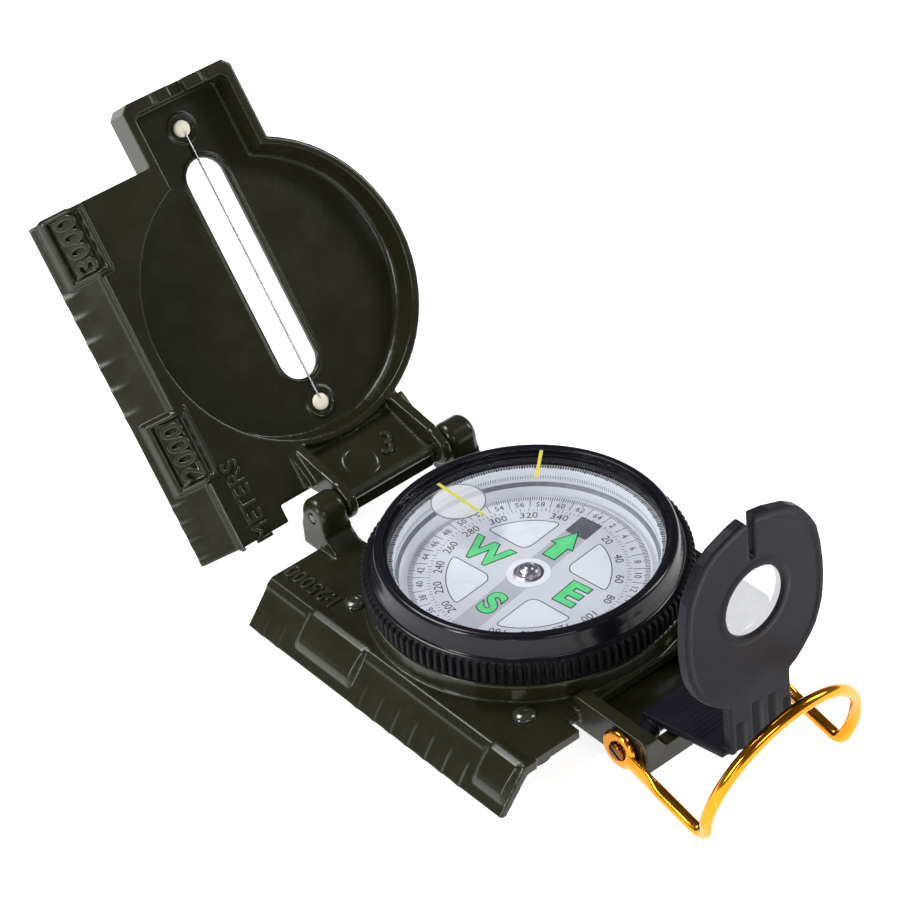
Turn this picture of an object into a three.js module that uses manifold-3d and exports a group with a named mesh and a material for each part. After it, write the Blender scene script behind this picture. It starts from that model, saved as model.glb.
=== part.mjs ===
// Folding sighting compass. Millimetres, +Z up, resting on the flat underside of its base at z = 0.
// +Y is the sighting direction (towards the cover hinge), the ruler bevel is on the -X side and
// the dial axis is x = 0, y = 0.
import * as THREE from 'three';
import Module from 'manifold-3d';

const wasm = await Module();
wasm.setup();
const DEG = Math.PI / 180;

// ---- driving dimensions -------------------------------------------------------------------
const PLATE_TOP = 7.3;            // top of the base plate
const PLATE_BOT = 5.5;
const FOLD_X = -26.86;            // where the ruler bevel folds down
const EDGE_X = -32.32;            // free edge of the ruler bevel
const EDGE_Z = 0.75;
const PLATE_RIGHT = 25.2;
const PLATE_FRONT = -28.8;
const PLATE_BACK = 32.3;
const BOSS_R = 25.7;              // round boss under the rotating bezel
const BOSS_TOP = 10.6;
const WELL_R = 22.1;              // bore that takes the capsule
const WELL_OUT_R = 24.2;
const WELL_BOT = 1.0;
const COLLAR_R = 22.75;           // upstand the bezel turns on
const COLLAR_TOP = 13.4;
const BEZEL_R = 26.0;
const BEZEL_BOT = 10.9;
const BEZEL_TOP = 18.36;
const HINGE_Y = 33.85;
const HINGE_Z = 12.3;
const HINGE_R = 3.1;
const PIN_R = 0.95;
const LUG_IN = 11.0;
const LUG_OUT = 16.3;
const COVER_DEG = 53.66;          // cover angle above horizontal as shown
const RIM_O = -5.7;               // cover rim plane, measured from the hinge axis
const FLOOR_O = -10.8;            // inner face of the cover floor
const DISH_BACK_O = -12.0;
const EXT_BACK_O = -11.6;
const DISH_V = 34.2;              // centre of the round dish, distance from the hinge axis
const DISH_R = 25.8;
const DISH_IN_R = 24.4;
const COVER_V0 = 0.65;
const COVER_V1 = 61.3;
const EXT_V = 72.0;
const EXT_X = 10.8;
const EXT_IN_X = 9.1;
const EXT_IN_V = 69.8;
const SLOT_X = 3.52;
const SLOT_V0 = 19.4;
const SLOT_V1 = 59.3;
const DOT_V = [64.8, 14.76];
const WIRE_O = -10.55;
const BRK_X = 13.0;               // rear bracket, outer half width
const BRK_IN_X = 10.6;
const BRK_Y0 = -40.2;
const BRK_Z0 = 3.5;
const BRK_Z1 = 9.6;
const PIVOT_Y = -35.3;            // lens arm and thumb loop axis
const PIVOT_Z = 6.2;
const LENS_Y = -49.49;
const LENS_Z = 35.42;
const LENS_DEG = 88.3;            // lens disc plane above horizontal
const LENS_T = 1.9;
const LENS_R = 5.65;
const ARM_X = 7.3;
const ARM_SLOPE = 0.193;
const ARM_T = 1.15;
const LOOP_X = 14.1;
const LOOP_LEN = 18.85;
const LOOP_DEG = 15.07;           // thumb loop arms below horizontal as shown
const WIRE_R = 1.0;
const CARD_Z = 10.6;

// ---- small solid helpers ------------------------------------------------------------------
function solidFromTriangles(pos, idx) {
  const map = new Map(); const verts = []; const remap = [];
  for (let i = 0; i < pos.length; i += 3) {
    const k = `${Math.round(pos[i] * 1e5)},${Math.round(pos[i + 1] * 1e5)},${Math.round(pos[i + 2] * 1e5)}`;
    if (!map.has(k)) { map.set(k, verts.length / 3); verts.push(pos[i], pos[i + 1], pos[i + 2]); }
    remap.push(map.get(k));
  }
  let tri = [];
  for (let i = 0; i < idx.length; i += 3) {
    const a = remap[idx[i]], b = remap[idx[i + 1]], c = remap[idx[i + 2]];
    if (a !== b && b !== c && a !== c) tri.push(a, b, c);
  }
  let vol = 0;
  for (let i = 0; i < tri.length; i += 3) {
    const [a, b, c] = [tri[i] * 3, tri[i + 1] * 3, tri[i + 2] * 3];
    vol += verts[a] * (verts[b + 1] * verts[c + 2] - verts[b + 2] * verts[c + 1])
      - verts[a + 1] * (verts[b] * verts[c + 2] - verts[b + 2] * verts[c])
      + verts[a + 2] * (verts[b] * verts[c + 1] - verts[b + 1] * verts[c]);
  }
  if (vol < 0) for (let i = 0; i < tri.length; i += 3) { const t = tri[i + 1]; tri[i + 1] = tri[i + 2]; tri[i + 2] = t; }
  return new wasm.Manifold(new wasm.Mesh({ numProp: 3, vertProperties: new Float32Array(verts), triVerts: new Uint32Array(tri) }));
}
function solid(geometry, matrix) {
  const g = geometry.clone();
  if (matrix) g.applyMatrix4(matrix);
  const p = g.attributes.position.array;
  const idx = g.index ? Array.from(g.index.array) : Array.from({ length: p.length / 3 }, (_, i) => i);
  return solidFromTriangles(Array.from(p), idx);
}
// polygon extruded along an axis; 'z' takes [x,y], 'x' takes [y,z], 'y' takes [x,z]
function prism(axis, pts, a0, a1) {
  const sh = new THREE.Shape(pts.map(([a, b]) => new THREE.Vector2(a, b)));
  const g = new THREE.ExtrudeGeometry(sh, { depth: a1 - a0, bevelEnabled: false });
  g.translate(0, 0, a0);
  const m = new THREE.Matrix4();
  if (axis === 'x') m.set(0, 0, 1, 0, 1, 0, 0, 0, 0, 1, 0, 0, 0, 0, 0, 1);
  if (axis === 'y') m.set(1, 0, 0, 0, 0, 0, 1, 0, 0, 1, 0, 0, 0, 0, 0, 1);
  return solid(g, m);
}
function box(x0, x1, y0, y1, z0, z1) {
  const g = new THREE.BoxGeometry(x1 - x0, y1 - y0, z1 - z0);
  g.translate((x0 + x1) / 2, (y0 + y1) / 2, (z0 + z1) / 2);
  return solid(g);
}
// closed profile of [radius, height] points turned about Z
function turned(profile, seg = 48, cx = 0, cy = 0) {
  const pos = [], idx = [], n = profile.length;
  for (let i = 0; i < seg; i++) {
    const a = (i / seg) * 2 * Math.PI;
    for (const [r, z] of profile) pos.push(cx + r * Math.cos(a), cy + r * Math.sin(a), z);
  }
  for (let i = 0; i < seg; i++) for (let j = 0; j < n; j++) {
    const k = (i + 1) % seg, l = (j + 1) % n;
    if (profile[j][0] < 1e-9 && profile[l][0] < 1e-9) continue;
    const A = i * n + j, B = k * n + j, C = k * n + l, D = i * n + l;
    idx.push(A, B, C, A, C, D);
  }
  return solidFromTriangles(pos, idx);
}
function discZ(r, z0, z1, cx = 0, cy = 0, seg = 32) {
  return turned([[0, z0], [r, z0], [r, z1], [0, z1]], seg, cx, cy);
}
function rodX(r, x0, x1, y, z, seg = 20) {
  return discZ(r, x0, x1, 0, 0, seg).transform([0, 1, 0, 0, 0, 0, 1, 0, 1, 0, 0, 0, 0, y, z, 1]);
}
function union(list) { return list.reduce((a, b) => a.add(b)); }
function placed(man, matrix) { return man.transform(matrix.elements.slice()); }

const group = new THREE.Group();
group.name = 'sighting_compass';
function emit(name, man, color, rough = 0.5, metal = 0) {
  const m = man.getMesh();
  const np = m.numProp, v = m.vertProperties, out = new Float32Array((v.length / np) * 3);
  for (let i = 0; i < v.length / np; i++) for (let k = 0; k < 3; k++) out[i * 3 + k] = v[i * np + k];
  const g = new THREE.BufferGeometry();
  g.setAttribute('position', new THREE.BufferAttribute(out, 3));
  g.setIndex(new THREE.BufferAttribute(new Uint32Array(m.triVerts), 1));
  g.computeVertexNormals();
  const mesh = new THREE.Mesh(g, new THREE.MeshStandardMaterial({ color, roughness: rough, metalness: metal }));
  mesh.name = name;
  group.add(mesh);
}
const OLIVE = 0x4a4d38, BLACK = 0x17181c, STEEL = 0xb9bcc0;

// ---- base casting -------------------------------------------------------------------------
const plate = prism('z', [
  [FOLD_X + 0.4, PLATE_FRONT], [-15.8, PLATE_FRONT], [-15.8, -25.9], [15.8, -25.9], [15.8, PLATE_FRONT],
  [23.7, PLATE_FRONT], [25.2, PLATE_FRONT + 1.5], [PLATE_RIGHT, 20.0], [LUG_OUT + 1.2, 29.6], [LUG_OUT, 30.9], [LUG_OUT, PLATE_BACK],
  [10.4, PLATE_BACK], [10.4, 26.6], [-10.4, 26.6], [-10.4, PLATE_BACK], [FOLD_X + 0.4, PLATE_BACK],
], PLATE_BOT, PLATE_TOP);
const bevel = prism('y', [
  [-24.6, PLATE_TOP], [FOLD_X, PLATE_TOP], [EDGE_X, EDGE_Z], [-31.95, 0.4], [-31.0, 0.4], [-26.5, PLATE_BOT], [-24.6, PLATE_BOT],
], PLATE_FRONT - 0.4, PLATE_BACK - 0.2);
const bossAndWell = turned([
  [WELL_R, WELL_BOT], [WELL_OUT_R, WELL_BOT], [WELL_OUT_R, 5.7], [BOSS_R + 0.1, 5.7], [BOSS_R, 7.4],
  [BOSS_R, BOSS_TOP - 0.3], [BOSS_R - 0.3, BOSS_TOP], [COLLAR_R, BOSS_TOP], [COLLAR_R, COLLAR_TOP], [WELL_R, COLLAR_TOP],
], 60);
const wellBore = discZ(WELL_R, -1, 20, 0, 0, 60);
function lug(side) {
  const arc = [];
  for (let i = 0; i <= 14; i++) { const a = Math.PI * (i / 14); arc.push([HINGE_Y + HINGE_R * Math.cos(a), HINGE_Z + HINGE_R * Math.sin(a)]); }
  const pts = [[HINGE_Y + HINGE_R, PLATE_BOT + 0.3], ...arc, [HINGE_Y - HINGE_R, 9.6], [27.4, PLATE_TOP - 0.5], [27.4, PLATE_BOT + 0.3]];
  const x0 = side < 0 ? -LUG_OUT : LUG_IN, x1 = side < 0 ? -LUG_IN : LUG_OUT;
  return prism('x', pts, x0, x1);
}
function bracketWall(side) {
  const pts = [[BRK_Y0, BRK_Z0], [-24.4, BRK_Z0], [-24.4, BRK_Z1 - 0.3], [-25.2, BRK_Z1], [BRK_Y0 + 0.5, BRK_Z1], [BRK_Y0, BRK_Z1 - 0.5]];
  return side < 0 ? prism('x', pts, -BRK_X, -BRK_IN_X) : prism('x', pts, BRK_IN_X, BRK_X);
}
const bracketFront = prism('y', [
  [-BRK_X + 0.5, BRK_Z0], [BRK_X - 0.5, BRK_Z0], [BRK_X - 0.5, BRK_Z1], [BRK_IN_X, BRK_Z1], [9.0, 7.25],
  [-9.0, 7.25], [-BRK_IN_X, BRK_Z1], [-BRK_X + 0.5, BRK_Z1],
], BRK_Y0, -38.0);
// floor web that ties the two bracket walls to the plate
const bracketWeb = prism('z', [[-BRK_IN_X - 0.2, -32.0], [BRK_IN_X + 0.2, -32.0], [BRK_IN_X + 0.2, -21.0], [-BRK_IN_X - 0.2, -21.0]], BRK_Z0, 4.5);
const RIVETS = [[-19.55, -20.77, 4.0, 'front_left'], [19.55, -20.77, 4.0, 'front_right'], [-21.2, 17.5, 3.0, 'rear_left'], [21.2, 17.5, 3.0, 'rear_right']];
let base = union([plate, bevel, bossAndWell, lug(-1), lug(1), bracketWall(-1), bracketWall(1), bracketFront, bracketWeb]).subtract(wellBore);
for (const s of [-1, 1]) {
  base = base.subtract(s < 0 ? rodX(PIN_R, -LUG_OUT - 1, -LUG_IN + 1, HINGE_Y, HINGE_Z) : rodX(PIN_R, LUG_IN - 1, LUG_OUT + 1, HINGE_Y, HINGE_Z));
  base = base.subtract(s < 0 ? rodX(0.7, -11.6, -9, PIVOT_Y, PIVOT_Z, 16) : rodX(0.7, 9, 11.6, PIVOT_Y, PIVOT_Z, 16));
  base = base.subtract(s < 0 ? rodX(0.9, -14, -12.1, PIVOT_Y, PIVOT_Z, 16) : rodX(0.9, 12.1, 14, PIVOT_Y, PIVOT_Z, 16));
}
for (const [x, y] of RIVETS) base = base.subtract(discZ(0.85, 0, 9, x, y, 14));
const SCREW_R = 23.15, SCREW_AZ = [90, 210, 330];
for (const a of SCREW_AZ) base = base.subtract(discZ(0.55, 0, 3.6, SCREW_R * Math.cos(a * DEG), SCREW_R * Math.sin(a * DEG), 12));
emit('base_casting', base, OLIVE);

// ---- bottom cover plate, its screws, rivets and rubber feet --------------------------------
let bottom = turned([[0, 0], [23.9, 0], [24.2, 0.3], [24.2, WELL_BOT], [0, WELL_BOT]], 60);
for (const a of SCREW_AZ) {
  const x = SCREW_R * Math.cos(a * DEG), y = SCREW_R * Math.sin(a * DEG);
  bottom = bottom.subtract(turned([[0, -1], [0.95, -1], [0.95, 0.1], [0.55, 0.5], [0.55, 2], [0, 2]], 12, x, y));
}
emit('bottom_cover', bottom, OLIVE);
SCREW_AZ.forEach((a, i) => {
  const x = SCREW_R * Math.cos(a * DEG), y = SCREW_R * Math.sin(a * DEG);
  let s = turned([[0, 0], [0.95, 0], [0.95, 0.1], [0.55, 0.5], [0.55, 3.5], [0, 3.5]], 12, x, y);
  s = s.subtract(box(x - 1.2, x + 1.2, y - 0.13, y + 0.13, -1, 0.18));
  emit(`bottom_screw_${i + 1}`, s, STEEL, 0.35, 1);
});
for (const [x, y, r, tag] of RIVETS) {
  emit(`foot_${tag}`, turned([[0, 0], [r - 0.4, 0], [r, 0.4], [r, PLATE_BOT - 0.02], [0, PLATE_BOT - 0.02]], 28, x, y).subtract(discZ(0.85, 3.4, 6, x, y, 14)), BLACK, 0.8);
  const dome = [[0, 3.4], [0.85, 3.4], [0.85, PLATE_TOP], [1.7, PLATE_TOP], [1.62, 7.62], [1.3, 7.95], [0.75, 8.14], [0, 8.2]];
  emit(`rivet_${tag}`, turned(dome, 14, x, y), OLIVE, 0.4, 0.3);
}

// ---- hinge pin, lens arm pin and thumb loop screws ------------------------------------------
emit('hinge_pin', rodX(PIN_R, -LUG_OUT + 0.1, LUG_OUT - 0.1, HINGE_Y, HINGE_Z), STEEL, 0.35, 1);
emit('lens_arm_pin', rodX(0.7, -11.6, 11.6, PIVOT_Y, PIVOT_Z, 16), STEEL, 0.35, 1);
for (const s of [-1, 1]) {
  const prof = [[0, 12.2], [0.75, 12.2], [0.75, BRK_X], [1.5, BRK_X], [1.5, 14.35], [2.3, 14.55], [2.3, 15.0], [1.9, 15.35], [0, 15.35]];
  let sc = turned(prof, 20).subtract(box(-0.3, 0.3, -3, 3, 14.9, 16));
  sc = sc.transform([0, 1, 0, 0, 0, 0, 1, 0, 1, 0, 0, 0, 0, PIVOT_Y, PIVOT_Z, 1]);
  if (s < 0) sc = sc.mirror([1, 0, 0]);
  emit(s < 0 ? 'loop_screw_left' : 'loop_screw_right', sc, 0xc9962f, 0.35, 1);
}

// ---- capsule --------------------------------------------------------------------------------
emit('capsule_cup', turned([
  [0, 1.05], [22.0, 1.05], [22.0, 17.0], [21.3, 17.0], [21.3, 16.2], [20.9, 16.2], [20.9, 12.2], [20.5, 9.6], [20.5, 2.4], [1.2, 2.4], [1.2, 3.4], [0.45, 3.4], [0.45, 2.0], [0, 2.0],
], 60), 0xe9ebe8, 0.45);
emit('pivot_post', turned([[0, 2.0], [0.45, 2.0], [0.45, 9.9], [0, 10.9]], 24), STEEL, 0.3, 1);
emit('fixed_crystal', discZ(21.3, 16.2, 17.0, 0, 0, 60), 0xd9e4ea, 0.05);
emit('magnifier_disc', discZ(4.35, 15.75, 16.2, 0, 16.3, 32), 0xe6eef2, 0.05);
emit('fixed_index_line', box(-0.4, 0.4, 9.8, 21.2, 17.0, 17.08), 0xe9e63a, 0.5);
emit('bezel_snap_ring', turned([[COLLAR_R, 12.0], [23.3, 12.0], [23.3, 12.5], [COLLAR_R, 12.5]], 60), STEEL, 0.35, 1);

// ---- rotating bezel --------------------------------------------------------------------------
emit('bezel_ring', turned([
  [22.95, BEZEL_BOT], [BEZEL_R, BEZEL_BOT], [BEZEL_R, 14.4], [25.8, 14.7], [23.75, 14.95], [23.25, 18.1], [23.0, BEZEL_TOP],
  [22.2, BEZEL_TOP], [22.2, 17.5], [21.6, 17.5], [21.6, 17.25], [22.3, 17.25], [22.3, 13.7], [22.95, 13.3],
  [22.95, 12.7], [23.45, 12.6], [23.45, 11.9], [22.95, 11.8],
], 64), BLACK, 0.45, 0.2);
emit('bezel_crystal', discZ(22.2, 17.5, 18.1, 0, 0, 64), 0xdfe9ee, 0.05);
{
  const a = 48 * DEG, c = Math.cos(a), s = Math.sin(a), w = 0.6;
  const P = (u, v) => [u * s + v * c, u * c - v * s];
  emit('luminous_line', prism('z', [P(13.2, -w), P(21.7, -w), P(21.7, w), P(13.2, w)], 18.1, 18.18), 0xeef0b0, 0.5);
}

// ---- floating card --------------------------------------------------------------------------
emit('compass_card', turned([[1.9, CARD_Z], [19.6, CARD_Z], [19.6, CARD_Z + 0.35], [1.9, CARD_Z + 0.35]], 60), 0xf2f3f1, 0.5);
{
  const a = 81.6 * DEG, c = Math.cos(a), s = Math.sin(a), L = 15.6, w = 1.95;
  const P = (u, v) => [u * s + v * c, u * c - v * s];
  emit('magnet_bar', prism('z', [P(-L, -w), P(L, -w), P(L, w), P(-L, w)], 9.5, CARD_Z).subtract(discZ(1.3, 0, 20, 0, 0, 24)), 0x8a8f96, 0.4, 0.8);
  emit('jewel_hub', turned([[0.75, 9.9], [1.2, 9.9], [1.2, 10.62], [1.84, 10.66], [1.84, 11.2], [1.55, 11.9], [0.8, 12.3], [0, 12.4], [0, 11.15]], 24), 0xd6d8da, 0.15, 1);
}

// ---- cover (modelled lying along +Y from the hinge axis, then raised) ------------------------
const coverMatrix = new THREE.Matrix4().makeTranslation(0, HINGE_Y, HINGE_Z).multiply(new THREE.Matrix4().makeRotationX(COVER_DEG * DEG));
{
  const FL = [FOLD_X, RIM_O], ED = [EDGE_X, -11.2];
  const panel = prism('z', [
    [FOLD_X + 0.2, COVER_V0], [-17.4, COVER_V0], [-17.4, 3.6], [-10.7, 3.6], [-10.7, 14.0], [0, 14.0], [0, COVER_V1 - 2], [-EXT_X, COVER_V1], [FOLD_X + 0.2, COVER_V1],
  ], RIM_O - 1.8, RIM_O);
  const flange = prism('y', [
    [FOLD_X + 1.6, RIM_O], FL, ED, [EDGE_X + 0.45, -11.55], [EDGE_X + 1.3, -11.5], [FOLD_X + 1.0, RIM_O - 1.8], [FOLD_X + 1.6, RIM_O - 1.8],
  ], COVER_V0, COVER_V1 - 0.2);
  const dish = turned([[0, DISH_BACK_O], [23.4, DISH_BACK_O], [25.2, DISH_BACK_O + 1.2], [DISH_R, RIM_O - 0.3], [DISH_R - 0.3, RIM_O], [0, RIM_O]], 60, 0, DISH_V);
  const ext = prism('z', [[-EXT_X, 50], [EXT_X, 50], [EXT_X, EXT_V - 1.2], [EXT_X - 1.2, EXT_V], [-EXT_X + 1.2, EXT_V], [-EXT_X, EXT_V - 1.2]], EXT_BACK_O, RIM_O);
  // ramped arms and the knuckle between them
  const arc = [];
  for (let i = 0; i <= 12; i++) { const a = (-100 + 190 * (i / 12)) * DEG; arc.push([-HINGE_R * Math.cos(a), HINGE_R * Math.sin(a)]); }
  const armShape = [[11.5, RIM_O], [11.5, -11.2], [9.0, -11.2], [3.2, -6.4], [1.2, -HINGE_R * 0.92], ...arc.map(([v, o]) => [v, o]), [2.6, 1.9], [10.4, RIM_O + 0.05]];
  const armL = prism('x', armShape, -11.35 + 0.55, -8.9), armR = prism('x', armShape, 8.9, 11.35 - 0.55);
  const wingL = prism('x', [[3.6, RIM_O - 1.8], [3.9, RIM_O], [3.9, -3.6], [10.2, RIM_O], [10.2, RIM_O - 1.8]], -11.9, -10.6);
  const wingR = prism('x', [[3.6, RIM_O - 1.8], [3.9, RIM_O], [3.9, -3.6], [10.2, RIM_O], [10.2, RIM_O - 1.8]], 10.6, 11.9);
  const mid = prism('x', [
    [0.3, -0.9], [-1.5, -1.3], [-2.75, -1.42], [-2.5, -1.85], [-1.5, -2.7], [0, -3.1], [1.5, -3.3], [9.6, -11.2], [12.4, -11.2], [12.4, -6.9], [8.4, -6.9],
  ], -9.2, 9.2);
  let cover = union([panel, flange, dish, ext, armL, armR, wingL, wingR, mid]);
  const hollow = turned([[0, FLOOR_O], [23.4, FLOOR_O], [24.0, FLOOR_O + 0.5], [DISH_IN_R, RIM_O + 0.1], [DISH_IN_R, 3], [0, 3]], 60, 0, DISH_V);
  const pocket = prism('z', [[-EXT_IN_X, 50], [EXT_IN_X, 50], [EXT_IN_X, EXT_IN_V - 0.8], [EXT_IN_X - 0.8, EXT_IN_V], [-EXT_IN_X + 0.8, EXT_IN_V], [-EXT_IN_X, EXT_IN_V - 0.8]], FLOOR_O, 2);
  cover = cover.subtract(hollow).subtract(pocket);
  // sighting slot, dot recesses, notch in the end lip, pin bore
  cover = cover.subtract(prism('z', [[-SLOT_X, SLOT_V0 + 0.8], [-SLOT_X + 0.8, SLOT_V0], [SLOT_X - 0.8, SLOT_V0], [SLOT_X, SLOT_V0 + 0.8], [SLOT_X, SLOT_V1 - 0.8], [SLOT_X - 0.8, SLOT_V1], [-SLOT_X + 0.8, SLOT_V1], [-SLOT_X, SLOT_V1 - 0.8]], -14, -10));
  for (const v of DOT_V) cover = cover.subtract(discZ(2.1, FLOOR_O - 0.35, FLOOR_O + 0.5, 0, v, 20));
  cover = cover.subtract(box(-1.4, 1.4, EXT_IN_V - 0.5, EXT_V + 1, RIM_O - 1.1, 0));
  cover = cover.subtract(rodX(PIN_R + 0.05, -12.5, 12.5, 0, 0));
  emit('cover_casting', placed(cover, coverMatrix), OLIVE);
  DOT_V.forEach((v, i) => emit(i ? 'luminous_dot_lower' : 'luminous_dot_upper', placed(discZ(1.3, FLOOR_O - 0.35, WIRE_O - 0.15, 0, v, 20), coverMatrix), 0xf2ecc4, 0.5));
  emit('sighting_wire', placed(rodX(0.15, DOT_V[1] - 0.9, DOT_V[0] + 0.9, 0, 0, 8).transform([0, 1, 0, 0, -1, 0, 0, 0, 0, 0, 1, 0, 0, 0, WIRE_O, 1]), coverMatrix), STEEL, 0.3, 1);
}

// ---- lens arm -------------------------------------------------------------------------------
const armTop = (y) => 7.86 - ARM_SLOPE * (y + 32.87);
{
  const half = [[0, 15], [3.4, 14.3], [7.3, 12.9], [9.3, 11.5], [10.2, 10.4], [11.4, 8.6], [12.5, 6.5], [13.2, 3.2], [13.5, 0], [13.6, -2.5], [13.4, -5], [13.2, -6.8], [12.6, -8.8], [11.7, -10.9], [10.6, -12.4], [9.3, -13.7], [7.6, -15.2], [6.05, -16], [6.05, -25.6]];
  const outline = [...half, ...half.slice(1).reverse().map(([x, w]) => [-x, w])];
  const up = [0, Math.cos(LENS_DEG * DEG), Math.sin(LENS_DEG * DEG)];
  const nrm = [0, -Math.sin(LENS_DEG * DEG), Math.cos(LENS_DEG * DEG)];
  const m = new THREE.Matrix4().set(1, 0, nrm[0], 0, 0, up[1], nrm[1], LENS_Y, 0, up[2], nrm[2], LENS_Z, 0, 0, 0, 1);
  const disc = placed(prism('z', outline, -LENS_T / 2, LENS_T / 2), m);
  const plateArm = prism('x', [[-50.35, armTop(-50.35) - ARM_T], [-50.35, armTop(-50.35)], [-32.87, armTop(-32.87)], [-32.87, armTop(-32.87) - ARM_T]], -ARM_X, ARM_X);
  const barrel = rodX(1.15, -ARM_X, ARM_X, PIVOT_Y, PIVOT_Z);
  const gusset = prism('x', [[PIVOT_Y - 1.1, PIVOT_Z], [PIVOT_Y + 1.1, PIVOT_Z], [PIVOT_Y + 1.1, armTop(PIVOT_Y + 1.1) - 0.4], [PIVOT_Y - 1.1, armTop(PIVOT_Y - 1.1) - 0.4]], -ARM_X, ARM_X);
  let arm = union([disc, plateArm, barrel, gusset]);
  arm = arm.subtract(box(-20, 20, -70, -20, 0, PIVOT_Z - 1.3)).subtract(rodX(0.75, -ARM_X - 1, ARM_X + 1, PIVOT_Y, PIVOT_Z, 16));
  const bore = placed(discZ(LENS_R, -3, 3, 0, 0, 32), m);
  arm = arm.subtract(bore).subtract(placed(box(-0.55, 0.55, 7.7, 17, -3, 3), m));
  // trim the neck flush with the underside of the plate
  arm = arm.subtract(prism('x', [[-52, armTop(-52) - ARM_T], [-48.0, armTop(-48.0) - ARM_T], [-48.0, 6], [-52, 6]], -8, 8));
  emit('lens_arm', arm, 0x2a2b30, 0.6);
  emit('sight_lens', placed(turned([[0, -0.85], [3, -0.7], [LENS_R, -0.3], [LENS_R, 0.3], [3, 0.7], [0, 0.85]], 32), m), 0xdde8ee, 0.03);
}

// ---- thumb loop -----------------------------------------------------------------------------
{
  const a = LOOP_DEG * DEG;
  const P = (x, e, h) => new THREE.Vector3(x, PIVOT_Y - e * Math.cos(a) - h * Math.sin(a), PIVOT_Z - e * Math.sin(a) + h * Math.cos(a));
  const half = [[LOOP_X, 2.6, 0], [LOOP_X, 8, 0], [LOOP_X, 13, 0], [LOOP_X, 16.6, 0], [LOOP_X, 18.0, 0.35], [LOOP_X + 0.15, 18.75, 1.5], [LOOP_X + 0.6, 18.85, 3.2]];
  for (let i = 0; i <= 9; i++) { const t = (i / 9) * 90 * DEG; half.push([15.0 * Math.cos(t), 18.85, 5.0 + 15.0 * Math.sin(t)]); }
  const pts = [...half.map(([x, e, h]) => P(-x, e, h)), ...half.slice(0, -1).reverse().map(([x, e, h]) => P(x, e, h))];
  const curve = new THREE.CatmullRomCurve3(pts, false, 'centripetal');
  const sh = new THREE.Shape();
  sh.absarc(0, 0, WIRE_R, 0, 2 * Math.PI, false);
  const wire = solid(new THREE.ExtrudeGeometry(sh, { steps: 70, bevelEnabled: false, extrudePath: curve, curveSegments: 5 }));
  const eye = (s) => rodX(3.3, s < 0 ? -14.3 : 13.12, s < 0 ? -13.12 : 14.3, PIVOT_Y, PIVOT_Z, 28).subtract(rodX(1.58, -20, 20, PIVOT_Y, PIVOT_Z, 20));
  let loop = union([wire, eye(-1), eye(1)]);
  const keepOut = union([rodX(2.5, -16, -14.35, PIVOT_Y, PIVOT_Z, 20), rodX(2.5, 14.35, 16, PIVOT_Y, PIVOT_Z, 20), rodX(1.58, -20, 20, PIVOT_Y, PIVOT_Z, 20)]);
  loop = loop.subtract(keepOut);
  emit('thumb_loop', loop, 0xd9a32a, 0.3, 1);
}

export default group;
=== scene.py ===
import math

import bmesh
import bpy
import numpy as np
from mathutils import Matrix, Vector


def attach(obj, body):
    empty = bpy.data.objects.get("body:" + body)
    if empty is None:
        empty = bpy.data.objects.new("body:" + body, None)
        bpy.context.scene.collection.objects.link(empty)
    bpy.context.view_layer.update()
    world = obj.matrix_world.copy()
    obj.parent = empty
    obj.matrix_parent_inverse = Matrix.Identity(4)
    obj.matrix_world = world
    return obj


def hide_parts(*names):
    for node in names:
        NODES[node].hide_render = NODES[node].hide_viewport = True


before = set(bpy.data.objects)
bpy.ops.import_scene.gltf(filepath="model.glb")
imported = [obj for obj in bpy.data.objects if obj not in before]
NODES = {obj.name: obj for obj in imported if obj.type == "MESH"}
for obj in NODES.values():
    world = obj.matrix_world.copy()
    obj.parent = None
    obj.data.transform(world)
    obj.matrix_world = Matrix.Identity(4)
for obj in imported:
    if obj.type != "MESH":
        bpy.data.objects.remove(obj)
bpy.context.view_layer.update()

MM = 0.001
DEG = math.pi / 180

# ------------------------------------------------------------------ frames, in millimetres
WORLD = np.eye(4)


def rot_x(deg, origin):
    c, s = math.cos(deg * DEG), math.sin(deg * DEG)
    return np.array([[1, 0, 0, origin[0]], [0, c, -s, origin[1]], [0, s, c, origin[2]], [0, 0, 0, 1.0]])


COVER = rot_x(53.66, (0, 33.85, 12.3))       # x across, y away from the hinge, z towards the inner side
_c, _s = math.cos(88.3 * DEG), math.sin(88.3 * DEG)
DISC = np.array([[1, 0, 0, 0], [0, _c, -_s, -49.49], [0, _s, _c, 35.42], [0, 0, 0, 1.0]])


def local(origin, right, up):
    """Frame with x along right, y along up and z along right x up."""
    r, u = np.array(right, float), np.array(up, float)
    r /= np.linalg.norm(r)
    u /= np.linalg.norm(u)
    m = np.eye(4)
    m[:3, 0], m[:3, 1], m[:3, 2], m[:3, 3] = r, u, np.cross(r, u), origin
    return m


def turn_z(deg, z=0.0):
    c, s = math.cos(deg * DEG), math.sin(deg * DEG)
    return np.array([[c, -s, 0, 0], [s, c, 0, 0], [0, 0, 1, z], [0, 0, 0, 1.0]])


def sstep(a, b, x):
    t = np.clip((x - a) / (b - a), 0, 1)
    return t * t * (3 - 2 * t)


# ------------------------------------------------------------------ materials
def new_mat(name):
    m = bpy.data.materials.new(name)
    m.use_nodes = True
    nt = m.node_tree
    nt.nodes.clear()
    out = nt.nodes.new("ShaderNodeOutputMaterial")
    return m, nt, out


def add(nt, kind, **values):
    n = nt.nodes.new(kind)
    for k, v in values.items():
        if k in n.inputs:
            n.inputs[k].default_value = v
        else:
            setattr(n, k, v)
    return n


def coords(nt, scale=1.0, obj=True):
    tc = add(nt, "ShaderNodeTexCoord")
    mp = add(nt, "ShaderNodeMapping")
    mp.inputs["Scale"].default_value = (scale,) * 3
    nt.links.new(tc.outputs["Object"], mp.inputs["Vector"])
    return mp.outputs["Vector"]


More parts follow.
